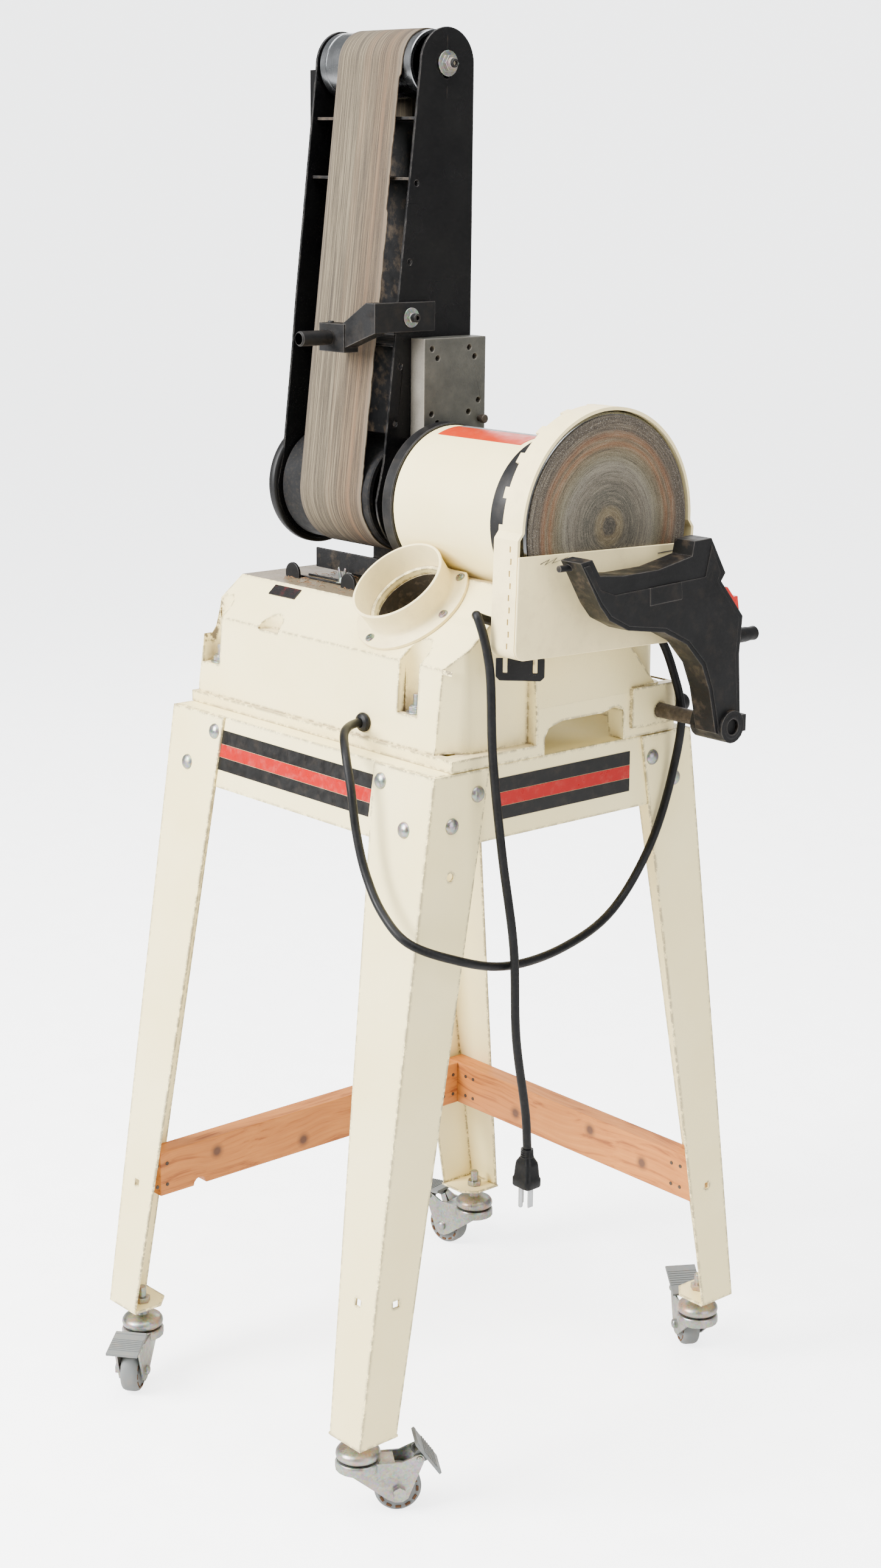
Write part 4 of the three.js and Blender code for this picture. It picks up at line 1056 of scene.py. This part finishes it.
# Thin near-black strips beside the axle slot: painted shade standing in for the narrow groove
scribe = Shape()
for z0, z1 in ((1447, 1459.5), (1496, 1511)):
    scribe.box((-10.9, -10.6), (IDLER[0] - 0.6, IDLER[0] + 0.6), (z0, z1))
scribe.piece("arm_scribed_line", GROOVE_SHADE, "belt_arm", "black_paint")
left_plate = Shape().prism("x", arm_outline(), -188, -185, [axle_slot()])
left_plate.piece("arm_cheek_left", BLACK, "belt_arm", "black_paint", 0.7, replaces=["arm_plate_left"])
fender = Shape().lathe(
    [
        (58, -196), (60, -197.4), (66, -198), (69.4, -196), (70.5, -193), (70.5, -187), (69.4, -185.6),
        (66, -185), (58, -187)
    ],
    SPINDLE, 96
)
fender.piece("arm_fender_ring", BLACK_DULL, "belt_arm", "black_paint", sharp=50)
hub = Shape().lathe(
    [
        (30.5, -10.3), (57, -10.3), (58, -9.3), (58, 5), (56.8, 6.4), (50.8, 9.6), (50, 11), (50, 16.4),
        (49, 17.4), (30.5, 17.4)
    ],
    SPINDLE, 96
)
for k in range(24):
    hub.box((-9.6, 8), (-1.6, 1.6), (49, 57.6), place=about_spindle(15 * k))
hub.piece("arm_hub_ribbed", CASTING, "belt_arm", "black_cast", replaces=["arm_hub"])
BEIGE_DUST = black_casting("black_casting_beige_dust", 1.0)
dress("platen", BEIGE_DUST, 0.5)
dress("arm_tie", BEIGE_DUST, 0.5)
dress("iron_pad", IRON, 2.2, 3)
pad_stud = Shape().lathe(
    [(0, 0), (3.6, 0), (3.6, 4), (4.8, 4.2), (4.8, 9), (4, 10), (0, 10)], x_axis(11.8, 60, 1112), 28
)
pad_stud.piece("iron_pad_stud", RUSTY, "belt_arm", "cast_iron", 0.3)

idler = Shape().lathe(
    [
        (6.5, -178), (14, -178), (14, -112), (31, -112), (31, -181.5), (34.4, -181.5),
        (IDLER_RADIUS, -180.6), (IDLER_RADIUS, -172), (34.4, -171.4), (34.4, -169),
        (IDLER_RADIUS, -168.4), (IDLER_RADIUS, -31), (34.4, -30), (31, -30), (31, -100), (14, -100),
        (14, -33), (6.5, -33)
    ],
    x_axis(0, *IDLER), 96
)
idler.piece("idler_drum_turned", TURNED, "idler", "aluminium", replaces=["idler_drum"])
dress("idler_axle", ZINC, 0.5)
axle_screw = Shape()
socket_head(axle_screw, (-2.6, IDLER[0], IDLER[1]), (1, 0, 0), 4.6, 5)
axle_screw.piece("idler_axle_screw", CASTING_CLEAN, "idler_carriage", "zinc", 0.2)
dress("tension_bracket", BLACK, 0.5)
knob = Shape().lathe(
    [(0, -222), (9, -222), (11, -220), (11, -208), (9, -205), (4, -205), (4, -188.8), (0, -188.8)],
    x_axis(0, 26, 1425), 48
)
knob.piece("tracking_knob_turned", CASTING_CLEAN, "tracking", "black_cast", 0.3, replaces=["tracking_knob"])


# ---------------------------------------------------------------- belt
def belt_path(offset):
    """The loop round both drums, at an offset outside them, as (y, z) points."""
    rise = IDLER[1] - SPINDLE_Z
    span = math.hypot(IDLER[0], rise)
    heading = math.degrees(math.atan2(rise, IDLER[0]))
    drop = math.degrees(math.asin((DRIVE_RADIUS - IDLER_RADIUS) / span))
    right, left = heading - 90 + drop, heading + 90 - drop
    top = circle(*IDLER, IDLER_RADIUS + offset, 41, right, left)
    low = circle(0, SPINDLE_Z, DRIVE_RADIUS + offset, 61, left, right + 360)
    spans = []
    for (y0, z0), (y1, z1) in ((top[-1], low[0]), (low[-1], top[0])):
        spans.append([(y0 + (y1 - y0) * i / 120, z0 + (z1 - z0) * i / 120) for i in range(1, 120)])
    return top + spans[0] + low + spans[1]


def frayed_edge(index, count):
    """How far the near edge is worn back at a step along the belt, in millimetres."""
    place = index / count
    wear = 1.1 * noise.noise((place * 60, 0.0, 0.0)) + 0.7 * noise.noise((place * 210, 3.0, 0.0)) + 1.0
    step = 2.6 if 0.13 < place < 0.24 else 0.0
    return max(0.05, wear + step)


def belt_band():
    """A closed band whose far edge is straight and whose near edge is frayed."""
    inner, outer = belt_path(0.45), belt_path(1.55)
    count = len(inner)
    columns = 14
    shape = Shape()
    rows = []
    for i in range(count):
        near = BELT_X[1] - frayed_edge(i, count)
        xs = [BELT_X[0] + 0.1 + (near - BELT_X[0] - 0.1) * k / columns for k in range(columns + 1)]
        rows.append([[shape.bm.verts.new((x, *loop[i])) for x in xs] for loop in (inner, outer)])
    for a, b in zip(rows, rows[1:] + rows[:1]):
        for k in range(columns):
            shape.bm.faces.new((a[0][k], a[0][k + 1], b[0][k + 1], b[0][k]))
            shape.bm.faces.new((a[1][k], b[1][k], b[1][k + 1], a[1][k + 1]))
        for k in (0, columns):
            shape.bm.faces.new((a[0][k], b[0][k], b[1][k], a[1][k]))
    return shape


belt_band().piece("sanding_belt_band", BELT, "belt_arm", "belt_cloth", replaces=["sanding_belt"])

# ---------------------------------------------------------------- stop bracket and its rod
dress("stop_bracket", CASTING_CLEAN, 1.6, 3)
stop_screws = Shape().lathe([(0, 0), (10.5, 0), (10.5, 1.6), (0, 1.6)], x_axis(-1, *STOP), 40)
hex_head(stop_screws, (0.6, *STOP), (1, 0, 0), 6, 3)
stop_screws.piece("stop_bracket_washer", ZINC_BRIGHT, "belt_arm", "zinc", 0.3)
stop_cap = Shape()
socket_head(stop_cap, (3, *STOP), (1, 0, 0), 4.6, 7)
socket_head(stop_cap, (-84, -70, 1213.5), (0, 0, 1), 3.4, 2.2)
stop_cap.piece("stop_bracket_screws", CASTING_CLEAN, "belt_arm", "black_cast", 0.2)
stop_rod_place = y_axis(-74, -122, 1199)
rod_bar = Shape().lathe([(0, 0), (6.4, 0), (8, 1.8), (8, 41.6), (0, 41.6)], stop_rod_place, 48)
rod_bar.piece("stop_rod_turned", CASTING_CLEAN, "belt_arm", "steel", replaces=["stop_rod"])
rod_end = Shape().lathe([(0, 0), (6.2, 0), (7, 0.8), (0, 0.8)], stop_rod_place, 48)
rod_end.piece("stop_rod_bright_end", STEEL, "belt_arm", "steel")

# ---------------------------------------------------------------- table support
slide = Shape().lathe([(0, 180), (8, 180), (8, 321), (7, 322), (0, 322)], x_axis(0, *ROD), 56)
slide.piece("table_rod_bar", RUSTY, "table_rod_body", "rusty_steel", replaces=["table_rod"])
dress("trunnion", CASTING_EDGES, 1.8, 3)
face = Shape().prism(
    "x",
    [
        (-86, 1003), (-78, 1004), (-62, 978), (-42, 971), (88, 976), (96, 1008), (111, 978), (107, 970),
        (121, 953), (142, 928), (139, 889), (145, 826), (141, 806), (133, 802), (117, 812), (105, 858),
        (93, 886), (67, 912), (33, 929), (-20, 937), (-46, 950), (-60, 965)
    ],
    325.4, 327
)
face.prism("x", [(8, 955), (54, 957), (52, 975), (7, 973)], 326.6, 327.9)
face.piece("trunnion_face", CASTING_CLEAN, "trunnion_body", "black_cast", 0.9, 3)
hub_ring = Shape().lathe(
    [(8.8, 0), (11, 0), (12.6, 0), (17, -1.2), (17, -3), (8.8, -3)], x_axis(331.2, *ROD), 64
)
hub_ring.piece("trunnion_hub_ring", CASTING_CLEAN, "trunnion_body", "black_cast", 0.5)
pointer = Shape().prism("x", [(117, 953), (127, 961), (137, 950), (127, 944)], 317, 322.5)
pointer.prism("x", [(131, 949), (143, 950), (147, 930), (138, 928)], 317, 322.5)
pointer.piece("tilt_pointer", RED, "trunnion_body", "red_plastic", 0.3)
trim = Shape()
hex_head(trim, (316, 146.5, 921), (0, 1, 0), 5, 3.4)
trim.lathe([(4.6, 0), (10.5, 0), (10.5, 1.8), (4.6, 1.8)], y_axis(TILT_LOCK[0], 148.6, TILT_LOCK[1]), 32)
trim.piece("tilt_washer", ZINC_BRIGHT, "trunnion_body", "zinc", 0.2)


def turned_knob(name, node, body, place, profile):
    knob = Shape().lathe(profile, place, 64)
    knob.piece(name, CASTING_CLEAN, body, "black_cast", 0.5, replaces=[node])


turned_knob(
    "tilt_handle_grip", "tilt_handle", "tilt_lock", y_axis(TILT_LOCK[0], 128, TILT_LOCK[1]),
    [(0, 0), (4, 0), (4, 23), (6.5, 23), (8, 25), (8, 40), (7.2, 46), (7.6, 54), (5.6, 56), (0, 56)]
)
turned_knob(
    "rod_lock_grip", "rod_lock_knob", "rod_lock", y_axis(213, 142.5, ROD[1]),
    [(0, 0), (4, 0), (4, 19.5), (8, 19.5), (10.6, 22), (11, 26), (11, 38), (9, 43), (0, 43.5)]
)
dress("switch_box", BLACK_DULL, 1.4)
dress("switch_paddle", RED, 0.8)


# ---------------------------------------------------------------- power cord
def through(points, steps):
    """Points along a smooth curve through the given ones, as centripetal Catmull-Rom spans."""
    points = [Vector(p) for p in points]
    points = [points[0] * 2 - points[1], *points, points[-1] * 2 - points[-2]]
    path = []
    for a, b, c, d in zip(points, points[1:], points[2:], points[3:]):
        t1 = (b - a).length ** 0.5
        t2 = t1 + (c - b).length ** 0.5
        t3 = t2 + (d - c).length ** 0.5
        for k in range(steps):
            t = t1 + (t2 - t1) * k / steps
            p = a.lerp(b, t / t1)
            q = b.lerp(c, (t - t1) / (t2 - t1))
            r = c.lerp(d, (t - t2) / (t3 - t2))
            u = p.lerp(q, t / t2)
            v = q.lerp(r, (t - t1) / (t3 - t1))
            path.append(u.lerp(v, (t - t1) / (t2 - t1)))
    return path + [points[-2]]


CORD_PATH = [
    (77, -148, 815), (77, -168, 815), (90, -192, 812), (116, -212, 796), (134, -220, 766), (148, -224, 722),
    (167, -227, 683), (198, -231, 650), (234, -228, 627), (262, -184, 606), (256, -110, 584), (250, -26, 585),
    (236, 60, 606), (232, 120, 668), (234, 149, 745), (241, 152, 812), (232, 145, 858), (226, 137, 884),
    (224, 122, 905), (224, 96, 928), (224, 50, 933), (224, -50, 933), (224, -104, 936), (226, -134, 946),
    (233, -140, 948), (240, -138, 930), (244, -132, 894), (246, -128, 806), (256, -122, 704),
    (266, -113, 606), (269, -110, 509), (271, -96, 420), (*PLUG, 384.4)
]
cord = Shape().tube(through(CORD_PATH, 8), 4.6, 20)
cord.piece("power_cord_round", CORD, slot="rubber", replaces=["power_cord"])


def ring_of(width, depth, z, radius):
    """A rounded rectangle round the plug's middle, as a loop of points at one height."""
    loop = []
    for sx, sy, start in ((1, 1, 0), (-1, 1, 90), (-1, -1, 180), (1, -1, 270)):
        u = PLUG[0] + sx * (width / 2 - radius)
        v = PLUG[1] + sy * (depth / 2 - radius)
        loop += [(x, y, z) for x, y in circle(u, v, radius, 8, start, start + 90)]
    return loop


def skin(shape, loops):
    rows = [[shape.bm.verts.new(p) for p in loop] for loop in loops]
    for a, b in zip(rows, rows[1:]):
        for k in range(len(a)):
            n = (k + 1) % len(a)
            shape.bm.faces.new((a[k], a[n], b[n], b[k]))
    shape.bm.faces.new(list(reversed(rows[0])))
    shape.bm.faces.new(rows[-1])


plug = Shape()
skin(plug, [
    ring_of(24, 20, 342, 4), ring_of(26, 22, 343.5, 5), ring_of(26, 22, 351, 5), ring_of(24, 20, 353, 5),
    ring_of(22, 18, 366, 5), ring_of(21, 17, 369, 5), ring_of(14, 12, 375, 5), ring_of(13, 11.6, 383.8, 5),
])
for k in range(4):
    rib = 7.2 - 0.3 * k
    plug.lathe([(5, 0), (rib, 0), (rib, 1.2), (5, 1.2)], z_axis(*PLUG, 374.5 + 2.3 * k), 32)
plug.piece("plug_body", CORD, slot="rubber", sharp=40, replaces=["power_plug"])
blades = Shape()
for x in (264, 278):
    blades.box((x, x + 1.6), (-98, -91), (320, 343))
blades.lathe([(0, 0), (1.6, 0), (2.4, 1.4), (2.4, 23), (0, 23)], z_axis(PLUG[0], PLUG[1] - 8, 320), 20)
blades.piece("plug_blades", STEEL, slot="steel", bevel=0.3)

# ---------------------------------------------------------------- room, light and camera
floor_z = at(0, 0, CASTER[2]).z
FLOOR_GAP = 0.0005  # keeps the wheels just clear of the floor
# A flat floor that curves up into a wall all round, in metres
FLAT_RADIUS = 12
CURVE_RADIUS = 4
WALL_TOP = 12
arc = [math.radians(a) for a in range(0, 91, 6)]
bowl = [(0, 0), (FLAT_RADIUS / 2, 0)]
bowl += [(FLAT_RADIUS + CURVE_RADIUS * math.sin(a), CURVE_RADIUS - CURVE_RADIUS * math.cos(a)) for a in arc]
bowl += [(FLAT_RADIUS + CURVE_RADIUS, WALL_TOP)]
floor_bm = bmesh.new()
spine = [floor_bm.verts.new((r, 0, z)) for r, z in bowl]
for a, b in zip(spine, spine[1:]):
    floor_bm.edges.new((a, b))
bmesh.ops.spin(
    floor_bm, geom=floor_bm.verts[:] + floor_bm.edges[:], axis=(0, 0, 1), cent=(0, 0, 0), angle=math.tau,
    steps=96
)
bmesh.ops.remove_doubles(floor_bm, verts=floor_bm.verts[:], dist=1e-4)
bmesh.ops.recalc_face_normals(floor_bm, faces=floor_bm.faces[:])
floor_mesh = bpy.data.meshes.new("floor")
floor_bm.to_mesh(floor_mesh)
floor_bm.free()
floor_mesh.shade_smooth()
floor = bpy.data.objects.new("floor", floor_mesh)
bpy.context.scene.collection.objects.link(floor)
floor.location = (0, 0, floor_z - FLOOR_GAP)
floor_mesh.materials.append(plain_floor("pale_floor"))

# The sky lights the object softly, and looks much brighter than that to the camera
SKY_LIGHT = 0.5
SKY_SEEN = 9.0
world = bpy.data.worlds.new("studio")
world.use_nodes = True
sky = world.node_tree.nodes["Background"]
sky.inputs["Color"].default_value = (0.96, 0.98, 1.0, 1)
seen = world.node_tree.nodes.new("ShaderNodeLightPath").outputs["Is Camera Ray"]
glow = world.node_tree.nodes.new("ShaderNodeMapRange")
glow.inputs["To Min"].default_value = SKY_LIGHT
glow.inputs["To Max"].default_value = SKY_SEEN
world.node_tree.links.new(seen, glow.inputs["Value"])
world.node_tree.links.new(glow.outputs["Result"], sky.inputs["Strength"])
bpy.context.scene.world = world


def soft_light(name, place, target, size, power):
    data = bpy.data.lights.new(name, "AREA")
    data.shape = "RECTANGLE"
    data.size, data.size_y = size
    data.energy = power
    lamp = bpy.data.objects.new(name, data)
    bpy.context.scene.collection.objects.link(lamp)
    lamp.location = place
    lamp.rotation_euler = (Vector(target) - Vector(place)).to_track_quat("-Z", "Y").to_euler()


soft_light("key", (-1.2, -3.2, 1.6), (-0.2, 0, -0.3), (1.8, 2.4), 560)
soft_light("overhead", (0.2, -0.4, 2.6), (-0.2, 0, -0.4), (3.0, 3.0), 210)
soft_light("side_fill", (3.2, 0.2, 0.6), (-0.2, 0, -0.3), (2.2, 2.6), 75)
soft_light("rear_fill", (-2.6, 2.8, 1.4), (-0.2, 0, -0.3), (2.2, 2.2), 50)

CAMERA_PLACE = (1.7229, -1.7426, 0.3551)
FOCAL_LENGTH = 56.17
azimuth, elevation, roll = (math.radians(v) for v in (48.57, 14.31, 0.61))
reach = math.cos(elevation)
back = Vector((math.sin(azimuth) * reach, -math.cos(azimuth) * reach, math.sin(elevation)))
right = Vector((math.cos(azimuth), math.sin(azimuth), 0))
up = back.cross(right)
right, up = math.cos(roll) * right + math.sin(roll) * up, -math.sin(roll) * right + math.cos(roll) * up
lens = bpy.data.cameras.new("camera")
lens.lens = FOCAL_LENGTH
lens.sensor_width = 36
camera = bpy.data.objects.new("camera", lens)
bpy.context.scene.collection.objects.link(camera)
turn = Matrix((right, up, back)).transposed().to_4x4()
camera.matrix_world = Matrix.Translation(CAMERA_PLACE) @ turn
bpy.context.scene.camera = camera
